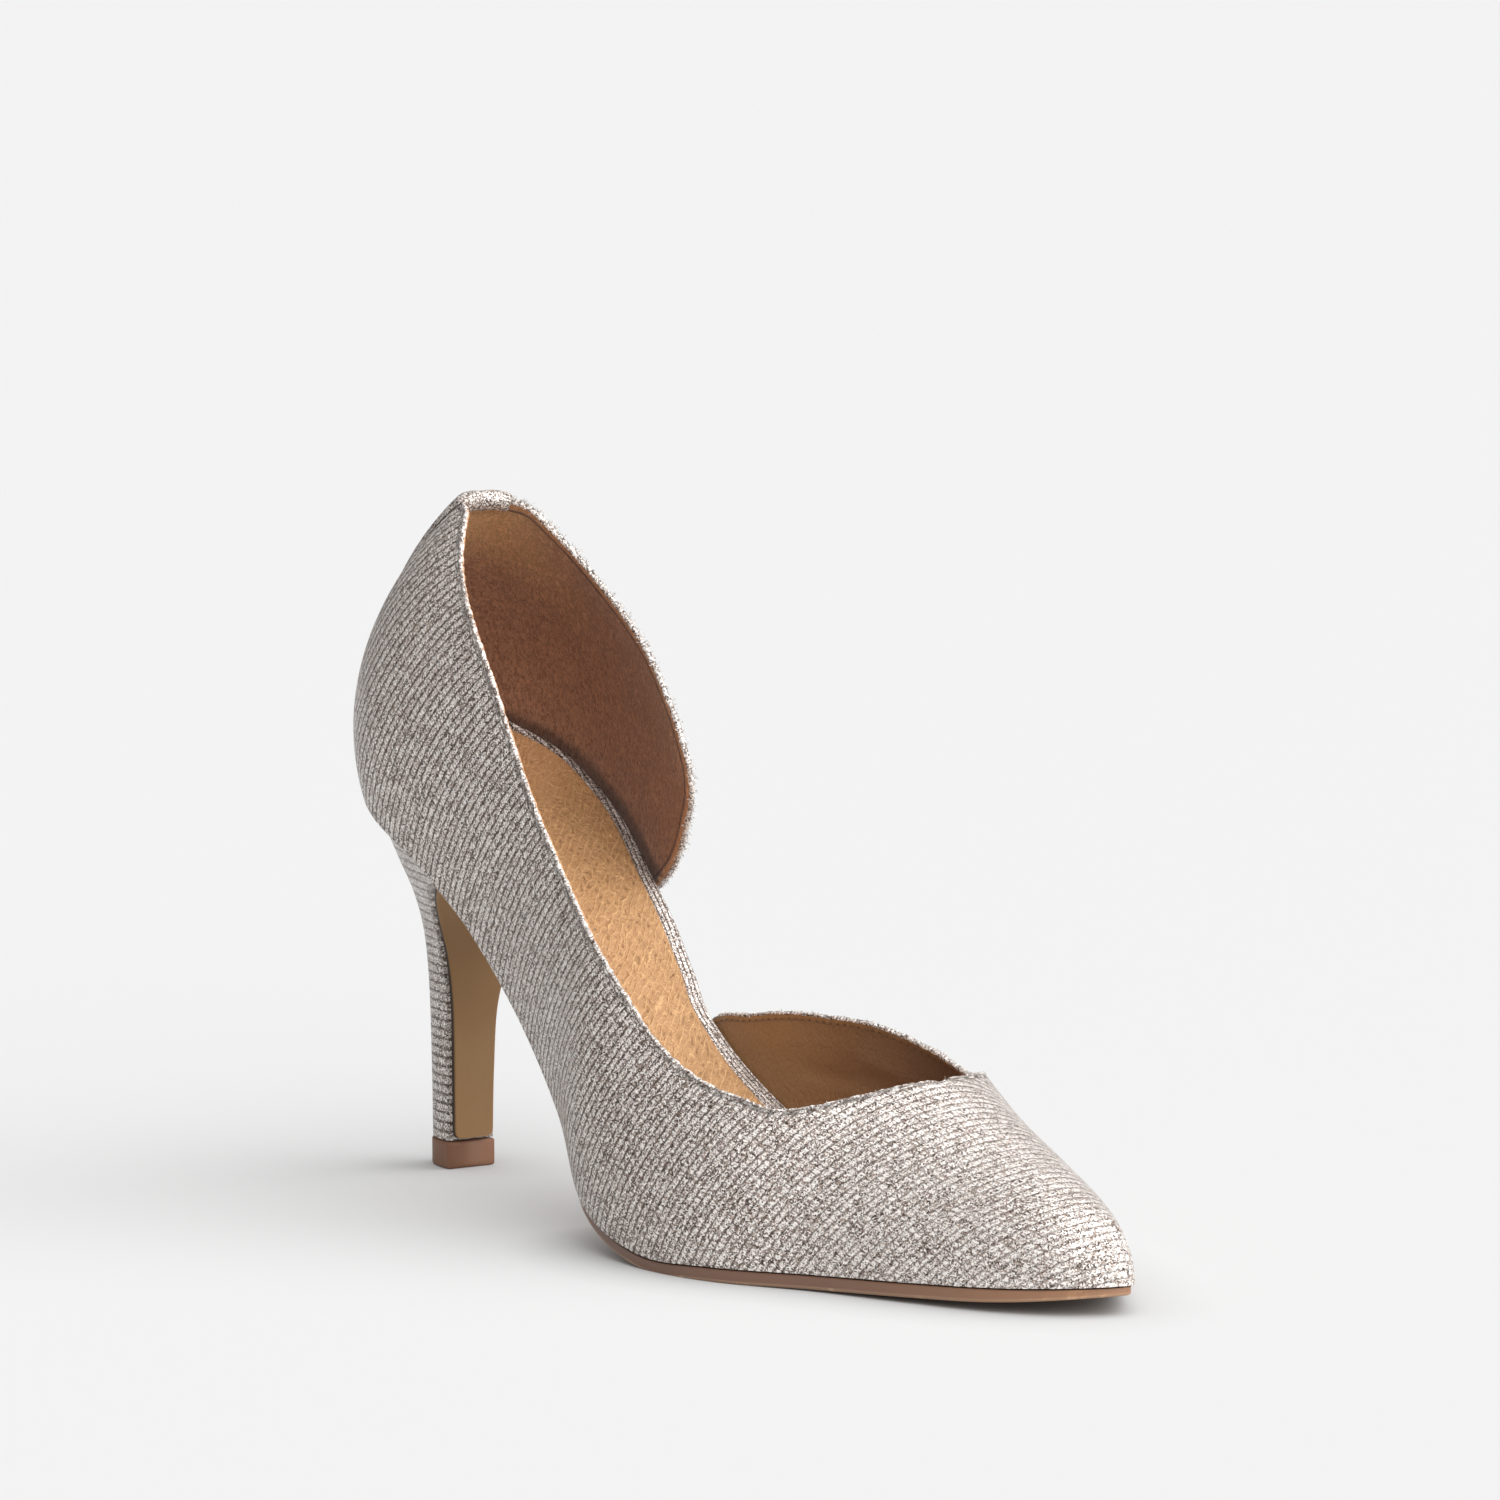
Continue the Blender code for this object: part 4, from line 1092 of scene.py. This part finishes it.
# Loose fibres along the free edge: how many for each millimetre, shortest and longest length, and width
# with its taper from root to tip
FIBRES = {"quarter": 7.0, "lateral": 1.2, "wing": 2.0}
FIBRE_LENGTH = {"quarter": (0.5, 1.5), "lateral": (0.2, 0.6), "wing": (0.3, 0.8)}
FIBRE_WIDTH = 0.14
FIBRE_TAPER = (1.0, 0.8, 0.2)
# How much they lean and bend by chance, where along them they bend, and how many shades they have
FIBRE_LEAN = 0.45
FIBRE_BEND = 0.5
FIBRE_KNEE = 0.55
FIBRE_SHADES = 400.0
FIBRE_SEED = 7


def make_fibres(turn, length, spans):
    """Short glittering threads that stand out of the rim at all angles."""
    chance = np.random.default_rng(FIBRE_SEED)
    taper = np.array(FIBRE_TAPER)[:, None]
    piece = Piece()
    middle = (turn[:, 0] + turn[:, -1]) / 2
    for name, start, end, _ in spans:
        run = length[min(end, len(length) - 1), 0] - length[start, 0]
        count = int(FIBRES[name] * run)
        at = np.sort(chance.uniform(start, min(end, len(turn) - 1) - 1, count))
        ring = chance.integers(1, KNIT_RIM[name], count)
        index = at.astype(int)
        part = (at - index)[:, None]
        root = turn[index, ring] * (1 - part) + turn[index + 1, ring] * part
        out = unit(turn[index, ring] - middle[index])
        way = unit(out + chance.normal(0, FIBRE_LEAN, (count, 3)))
        reach = chance.uniform(*FIBRE_LENGTH[name], count)[:, None]
        side = unit(np.cross(way, chance.normal(0, 1, (count, 3)))) * FIBRE_WIDTH / 2
        bend = unit(way + chance.normal(0, FIBRE_BEND, (count, 3)))
        knee = root + way * reach * FIBRE_KNEE
        tip = knee + bend * reach * (1 - FIBRE_KNEE)
        for line, half in zip(np.stack([root, knee, tip], 1), side):
            strip = np.stack([line - half * taper, line + half * taper], 1)
            tone = np.full(strip.shape[:2], chance.uniform(0, FIBRE_SHADES))
            piece.add(strip, np.stack([0.5 + 0 * tone, tone, FAR + 0 * tone], -1))
    piece.build("edge_fibres", [KNIT], "upper", "upper_knit")


# The bottom

# Steps along and across the insole and the sock, and in the insole's wall and rounded corner
BED_COLUMNS = 220
SOCK_ACROSS = 36
INSOLE_ACROSS = 20
INSOLE_UP = 4
INSOLE_BEND = 5
# The insole's corner takes up this share of its half width at most.
WIDEST_BEVEL = 0.9


def insole_depth(s, side):
    """Depth of the insole's edge inside the outer surface: clear of the wall where there is one."""
    bare = ramp(s, *WAIST_OUT) - ramp(s, *WAIST_IN)
    return WALL + GAP - (bare * WALL if side > 0 else 0.0)


def rim(s, side, lift):
    """Edge of the insole beside the inner wall, at a height over the feather edge."""
    s = np.asarray(s, float)
    height = lift + spline(HEEL_CUP, s)
    return skin(s, share_at_height(s, height, side), side, insole_depth(s, side))


def footbed(s, across, lift):
    """Point of the insole's top: across runs from -1, lateral, to 1, medial; lift is over that top."""
    t = (across + 1) / 2
    sag = spline(HEEL_CUP, s) * (1 - np.abs(across) ** CUP_FLATNESS) * ramp(s, 0, CUP_END)
    chord = rim(s, -1, INSOLE) * (1 - t)[:, None] + rim(s, 1, INSOLE) * t[:, None]
    return chord + bottom_normal(s) * (lift - sag)[:, None]


def make_insole():
    """Insole board wrapped in knit, its cords running along the foot."""
    s = np.linspace(0, TOE, BED_COLUMNS + 1)
    width = np.linalg.norm(rim(s, 1, INSOLE) - rim(s, -1, INSOLE), axis=1) / 2
    bevel = np.minimum(INSOLE_BEVEL / np.maximum(width, INSOLE_BEVEL), WIDEST_BEVEL)
    turn = np.linspace(0, np.pi / 2, INSOLE_BEND + 1)
    sides = {}
    for side in (-1, 1):
        low = skin(s, 0 * s, side, insole_depth(s, side))
        high = rim(s, side, INSOLE - INSOLE_BEVEL)
        top = footbed(s, side * (1 - bevel), 0 * s)
        corner = rim(s, side, INSOLE)
        wall = [low + (high - low) * t for t in np.linspace(0, 1, INSOLE_UP + 1)[:-1]]
        bend = [top + (high - corner) * (1 - np.sin(a)) + (corner - top) * np.cos(a) for a in turn]
        sides[side] = wall + bend
    flat = [footbed(s, (1 - bevel) * w, 0 * s) for w in np.linspace(1, -1, INSOLE_ACROSS + 1)[1:-1]]
    rows = np.stack(sides[1] + flat + sides[-1][::-1], 1)
    around = arc(rows, 1)
    length = np.repeat(arc(rows[:, :1], 0), rows.shape[1], 1)
    weave = np.stack([around / WRAP_RIB, length / BEAD, FAR + 0 * around], -1)
    piece = Piece()
    piece.add(rows, weave, closed=True)
    piece.build("insole_wrap", [KNIT], "insole", "insole_knit", face_out=True)


# Rounding of the sock's edge, how much its columns crowd there, and sections between which its heel ends
SOCK_ROUND = 1.1
SOCK_CROWD = 0.8
SOCK_HEEL = (2.6, 4.2)
# A soft ridge along it: place and width as shares of the sock's width, height, where it starts and ends
RIDGE_PLACE = 0.72
RIDGE_WIDTH = 0.05
RIDGE_HEIGHT = 0.45
RIDGE_STARTS = (2.2, 3.4)
RIDGE_ENDS = (5.6, 7.4)


def make_sock():
    """Leather sock on the insole, with rounded edges."""
    s = np.linspace(*SOCK_ENDS, BED_COLUMNS)
    chord = rim(s, 1, INSOLE) - rim(s, -1, INSOLE)
    width = np.linalg.norm(chord, axis=1) / 2
    top = INSOLE + GAP + SOCK
    lean = [np.sum((rim(s, side, top) - rim(s, side, INSOLE)) * unit(chord), 1) * -side for side in (-1, 1)]
    start = -1 + (LATERAL_MARGIN + np.maximum(lean[0], 0)) / width
    end = 1 - (spline(MARGIN, s) + np.maximum(lean[1], 0)) / width
    share = np.linspace(0, 1, SOCK_ACROSS + 1)
    share = share - np.sin(2 * np.pi * share) / (2 * np.pi) * SOCK_CROWD
    span = (end - start) * width
    ridge = RIDGE_HEIGHT * ramp(s, *RIDGE_STARTS) * (1 - ramp(s, *RIDGE_ENDS))
    columns = []
    for t in share:
        inside = np.minimum(t, 1 - t) * span
        drop = 1 - np.clip(inside / SOCK_ROUND, 0, 1)
        lift = GAP + SOCK * np.sqrt(np.clip(1 - drop ** 2, 0, 1))
        lift = lift + ridge * np.exp(-((t - RIDGE_PLACE) / RIDGE_WIDTH) ** 2)
        columns.append(footbed(s, start + (end - start) * t, lift))
    rows = np.stack(columns, 1)
    heel = np.repeat(1 - ramp(s, *SOCK_HEEL)[:, None], rows.shape[1], 1)
    weave = np.stack([arc(rows, 1), arc(rows, 0), heel], -1)
    piece = Piece()
    piece.add(rows, weave)
    piece.build("sock_cover", [sock_leather()], "sock", "sock_leather")


# Steps along the sole up to its toe and around that, in its rounded corner, up its edge and across
SOLE_TOE = 14
SOLE_COLUMNS = 200
SOLE_TOE_COLUMNS = 40
SOLE_BEND = 4
SOLE_UP = 6
SOLE_ACROSS = 14


def make_outsole():
    """Sole from the heel breast to the toe, thin and set in at the waist, flat under the ball."""
    s = np.concatenate([np.linspace(SEAT + SEAT_CLEAR, SOLE_TOE, SOLE_COLUMNS)[:-1],
                        np.linspace(SOLE_TOE, TOE, SOLE_TOE_COLUMNS)])
    thick = WAIST_SOLE + (SOLE - WAIST_SOLE) * ramp(s, *SOLE_THICKENS)
    thick = thick * (1 - TIP_THIN * ramp(s, *TIP_THINS))
    outset = spline(SOLE_EDGE, s)
    sides = {}
    for side in (-1, 1):
        edge = []
        for angle in np.linspace(0, np.pi / 2, SOLE_BEND + 1):
            lower = -GAP - thick + SOLE_BEVEL * (1 - np.cos(angle))
            edge.append(feather(s, side, outset - SOLE_BEVEL * (1 - np.sin(angle)), lower))
        for share in np.linspace(0, 1, SOLE_UP + 1)[1:]:
            edge.append(feather(s, side, outset, -GAP - (thick - SOLE_BEVEL) * (1 - share)))
        edge = np.stack(edge, 1)
        edge[..., 2] = np.maximum(edge[..., 2], 0.0)
        sides[side] = edge
    height = np.repeat(arc(sides[1], 1).mean(0)[None], len(s), 0)
    mark = np.stack([height, 0 * height, 0 * height], -1)
    piece = Piece()
    for side in (-1, 1):
        piece.add(sides[side], mark)
    across = np.linspace(0, 1, SOLE_ACROSS + 1)[:, None, None]
    for row, weave in ((0, (0.0, 0.0, 1.0)), (-1, (height.max(), 0.0, 0.0))):
        flat = np.moveaxis(sides[-1][:, row] * (1 - across) + sides[1][:, row] * across, 0, 1)
        piece.add(flat, np.zeros(flat.shape) + np.array(weave))
    breast = np.stack([sides[-1][0], sides[1][0]], 0)
    piece.add(breast, np.zeros(breast.shape))
    piece.build("outsole_edge", [sole_leather()], "outsole", "sole_leather", face_out=True)


# The heel

# Points around the heel, and steps up to its seat and up the seat's wall
HEEL_POINTS = 81
HEEL_TURNS = 120
SEAT_STEPS = 7


def heel_row(t):
    """Columns of the heel's section at row number t."""
    values = through_rows(HEEL_ROWS, t)
    return {name: values[..., i] for i, name in enumerate(HEEL)}


def d_loop(row, points, grow=0.0):
    """D-shaped section: round at the back, straight across the breast."""
    angle = np.linspace(-np.pi / 2, np.pi / 2, points)
    forward = 1 - np.abs(np.cos(angle)) ** (2 / HEEL_ROUND)
    sideways = np.sign(angle) * np.abs(np.sin(angle)) ** (2 / HEEL_ROUND)
    depth = row["breast"] - row["back"] + 2 * grow
    x = row["back"] - grow + depth * forward
    z = row["back_z"] + (row["breast_z"] - row["back_z"]) * forward
    y = row["mid"] + (row["half"] + grow) * sideways
    return np.stack([x, y, z], -1)


def across_loop(loop):
    """Grid of faces that closes a D-shaped loop, from its left half to its right half."""
    half = HEEL_POINTS // 2
    return np.stack([loop[:half + 1], loop[half:][::-1]], 1)


def make_heel():
    """Heel block covered in knit, its cords running round it."""
    steps = np.linspace(0, len(HEEL_ROWS) - 1.0, HEEL_TURNS)
    loops = [d_loop(heel_row(t), HEEL_POINTS) for t in steps]
    way = np.linspace(-1, 1, HEEL_POINTS)
    seat = np.array([feather(abs(w) * SEAT, -1 if w < 0 else 1, -SEAT_INSET, -GAP) for w in way])
    climb = [loops[-1] * (1 - t) + seat * t for t in np.linspace(0, 1, SEAT_STEPS + 1)[1:]]
    rows = np.stack(loops + climb, 0)
    around = arc(rows, 1)
    weave = np.stack([rows[..., 2] / RING, around / BEAD, FAR + 0 * around], -1)
    piece = Piece()
    piece.add(rows, weave)
    front = np.stack([rows[:, 0], rows[:, -1]], 1)
    piece.add(front, np.stack([front[..., 2] / RING, front[..., 1] / BEAD, FAR + 0 * front[..., 0]], -1))
    for end in (rows[0], rows[-1]):
        cap = across_loop(end)
        piece.add(cap, FAR + np.zeros(cap.shape))
    piece.build("heel_wrap", [KNIT], "heel", "heel_knit", face_out=True)


# Profile of the panel's edge: share of its half width, and share of its thickness. Its face lies between.
COVER_EDGE = ((1.0, 0.0), (1.0, 0.6), (0.985, 0.9), (0.95, 1.0))
COVER_FACE = 0.9
COVER_ACROSS = 15
# Steps up its rounded foot, which is this many heel rows high, and up the rest
COVER_FINE = 0.25
COVER_FOOT_STEPS = 24
COVER_STEPS = 90


def make_breast_cover():
    """Thin cover on the front of the heel, with rounded lower corners."""
    top_step = len(HEEL_ROWS) - 1.0
    t = np.concatenate([np.linspace(0, COVER_FINE, COVER_FOOT_STEPS)[:-1],
                        np.linspace(COVER_FINE, top_step - COVER_FINE, COVER_STEPS)])
    row = heel_row(t)
    line = np.stack([row["breast"], row["mid"], row["breast_z"]], -1)
    run = np.gradient(line, t, axis=0)
    front = unit(np.stack([run[:, 2], 0 * t, -run[:, 0]], -1))
    climb = arc(line[:, None], 0)[:, 0]
    keep = climb >= COVER_FOOT
    up = climb[keep] - climb[keep][0]
    short = np.clip(COVER_CORNER - up, 0, COVER_CORNER)
    half = row["half"][keep] - COVER_MARGIN - (COVER_CORNER - np.sqrt(COVER_CORNER ** 2 - short ** 2))
    left = [(-share, depth) for share, depth in COVER_EDGE]
    face = [(share, 1.0) for share in np.linspace(-COVER_FACE, COVER_FACE, COVER_ACROSS)]
    corner = COVER_EDGE[1][1]
    columns, marks = [], []
    for share, depth in (*left, *face, *COVER_EDGE[::-1]):
        middle = line[keep] + front[keep] * (GAP + COVER * depth)
        columns.append(middle + np.stack([0 * half, half * share, 0 * half], -1))
        marks.append(np.stack([0 * half, climb[keep], half * (1 - abs(share)) + depth - corner], -1))
    piece = Piece()
    piece.add(np.stack(columns, 1), np.stack(marks, 1))
    piece.build("breast_panel", [cover_leather()], "breast_cover", "cover_leather")


# Where the middle of the tip's lower rounding lies, as a share of it, and steps up the tip's wall
TIP_BEND = 0.3
TIP_STEPS = 7


def make_top_piece():
    """Rubber tip under the heel, rounded along both of its ends."""
    row = heel_row(0.0)
    loops = []
    levels = [(0.0, -TIP_BEVEL), (TIP_BEVEL * TIP_BEND, -TIP_BEVEL * TIP_BEND), (TIP_BEVEL, 0.0)]
    levels += [(height, 0.0) for height in np.linspace(TIP_BEVEL, TIP - TIP_ROUND, TIP_STEPS + 1)[1:]]
    levels += [(TIP, -TIP_ROUND)]
    for height, grow in levels:
        loop = d_loop(row, HEEL_POINTS, TIP_GROW + grow)
        loop[:, 2] = height
        loops.append(loop)
    rows = np.stack(loops, 0)
    piece = Piece()
    piece.add(rows, np.zeros(rows.shape), closed=True)
    for end in (rows[0], rows[-1]):
        cap = across_loop(end)
        piece.add(cap, np.zeros(cap.shape))
    piece.build("tip_block", [tip_rubber()], "top_piece", "tip_rubber", face_out=True)


# Steps across the strip, up its outside, over the topline and down the inside
STAY_ACROSS = 24
STAY_UP = 39
STAY_OVER = 11
STAY_INSIDE = 5
# The strip lies behind this section. Over its outer share it thins to a share of its height, and its knit
# face takes up a share of the strip's thickness.
STAY_REACH = 2.4
STAY_ROUND = 0.12
STAY_EDGE = 0.15
STAY_FACE = 0.8


def make_back_stay():
    """Strip over the back seam, from low on the seam up over the topline and a little way inside."""
    top = LATERAL_TOPLINE[0][1]
    seam = np.linspace(0, top, CURVE_STEPS)
    down = arc(last(0.0, seam, -1)[::-1][:, None], 0)[:, 0]
    foot = np.interp(STAY_LENGTH, down, seam[::-1])
    fold = np.interp(STAY_FOLD, down, seam[::-1])
    shares = np.linspace(foot, top, STAY_UP + 1)
    columns = []
    for across in np.linspace(-1, 1, STAY_ACROSS + 1):
        side = -1 if across < 0 else 1
        trial = np.linspace(0, STAY_REACH, CURVE_STEPS)
        width = np.abs(last(trial[None, :], shares[:, None], side)[..., 1] - section(trial)["mid"][None, :])
        station = np.array([np.interp(abs(across) * STAY_HALF, row, trial) for row in width])
        edge = spline(LATERAL_TOPLINE if side < 0 else QUARTER_TOPLINE, station[-1])
        rise = foot + (shares - foot) * (edge - foot) / (top - foot)
        normal = outward(station, rise, side)
        outer = last(station, rise, side)
        inside = skin(station[-1], edge, side, WALL)
        middle, reach = (outer[-1] + inside) / 2, (outer[-1] - inside) / 2
        tip = up_wall(station[-1], edge, side) * np.linalg.norm(reach)
        round_edge = 1 - np.clip((abs(across) - 1) / STAY_ROUND + 1, 0, 1) ** 2
        lift = (GAP + STAY * STAY_FACE) * (STAY_EDGE + (1 - STAY_EDGE) * round_edge)
        column = list(outer + normal * lift)
        for angle in np.linspace(0, np.pi, STAY_OVER + 1)[1:-1]:
            way = reach * np.cos(angle) + tip * np.sin(angle)
            column.append(middle + way + unit(way) * lift)
        low = np.linspace(edge, edge - (top - fold), STAY_INSIDE + 1)
        inner = skin(station[-1] + 0 * low, low, side, WALL + 0 * low)
        column += list(inner - outward(station[-1] + 0 * low, low, side) * lift)
        columns.append(np.array(column))
    rows = np.stack(columns, 0)
    weave = np.zeros(rows.shape) + np.array((0.5, 0.5, FAR))
    piece = Piece()
    piece.add(rows, weave)
    piece.build("stay_strip", [KNIT], "back_stay", "stay_knit")


# Stage, light and camera

# The camera: place in metres, direction, and focal length and sensor width in millimetres
EYE = Vector((1.170696, -0.814869, 0.248637))
AZIMUTH, ELEVATION = np.radians(55.0), np.radians(6.233)
LENS, SENSOR = 180.0, 36.0
# A lit table: half its size in metres, how pale its top is, how much light comes through it, and how
# close to the shoe that light fades, in millimetres, found from so many samples
FLOOR_HALF = 40.0
FLOOR = 0.40
FLOOR_GLOW = 0.315
FLOOR_SHADE = 18.0
FLOOR_SAMPLES = 8
# Brightness of the studio at eye level and overhead; power, spread in degrees and place of the key light
SKY = (0.26, 0.36)
KEY_POWER = 5.0
KEY_SPREAD = 100.0
KEY_FROM = (0.65, 0.25, 0.70)


def make_stage():
    """Pale table top that glows, but not where the shoe hides the sky."""
    paint = Paint("floor", Base_Color=(FLOOR,) * 3, Roughness=0.9, Specular_IOR_Level=0.1,
                  Emission_Color=(1.0, 1.0, 1.0))
    inputs = {"Distance": FLOOR_SHADE * MM}
    open_sky = paint.node("AmbientOcclusion", inputs, samples=FLOOR_SAMPLES).outputs["AO"]
    paint.finish(Emission_Strength=paint.times(open_sky, FLOOR_GLOW))
    mesh = bpy.data.meshes.new("floor")
    corners = [(x * FLOOR_HALF, y * FLOOR_HALF, 0) for x, y in ((-1, -1), (1, -1), (1, 1), (-1, 1))]
    mesh.from_pydata(corners, [], [(0, 1, 2, 3)])
    mesh.materials.append(paint.material)
    floor = bpy.data.objects.new("floor", mesh)
    bpy.context.scene.collection.objects.link(floor)


def make_light():
    """A studio that is brighter overhead, and one broad key light."""
    scene = bpy.context.scene
    scene.view_settings.view_transform = "Standard"
    world = bpy.data.worlds.new("studio")
    world.use_nodes = True
    tree = world.node_tree
    split = tree.nodes.new("ShaderNodeSeparateXYZ")
    tree.links.new(tree.nodes.new("ShaderNodeTexCoord").outputs["Generated"], split.inputs[0])
    rise = tree.nodes.new("ShaderNodeMapRange")
    rise.inputs["To Min"].default_value, rise.inputs["To Max"].default_value = SKY
    tree.links.new(split.outputs["Z"], rise.inputs["Value"])
    tree.links.new(rise.outputs[0], tree.nodes["Background"].inputs["Strength"])
    tree.nodes["Background"].inputs["Color"].default_value = (1.0, 1.0, 1.0, 1.0)
    scene.world = world
    sun = bpy.data.lights.new("key", "SUN")
    sun.energy = KEY_POWER
    sun.angle = np.radians(KEY_SPREAD)
    key = bpy.data.objects.new("key", sun)
    key.rotation_euler = (-Vector(KEY_FROM)).to_track_quat("-Z", "Y").to_euler()
    scene.collection.objects.link(key)


def make_camera():
    """Camera at the photograph's angle."""
    right = Vector((np.cos(AZIMUTH), np.sin(AZIMUTH), 0.0))
    level = np.cos(ELEVATION)
    back = Vector((np.sin(AZIMUTH) * level, -np.cos(AZIMUTH) * level, np.sin(ELEVATION)))
    up = back.cross(right)
    camera = bpy.data.cameras.new("camera")
    camera.lens, camera.sensor_width = LENS, SENSOR
    item = bpy.data.objects.new("camera", camera)
    rotation = Matrix((right, up, back)).transposed()
    item.matrix_world = Matrix.Translation(EYE) @ rotation.to_4x4()
    bpy.context.scene.collection.objects.link(item)
    bpy.context.scene.camera = item


KNIT = knit()
make_upper()
make_back_stay()
make_insole()
make_sock()
make_outsole()
make_heel()
make_breast_cover()
make_top_piece()
make_stage()
make_light()
make_camera()
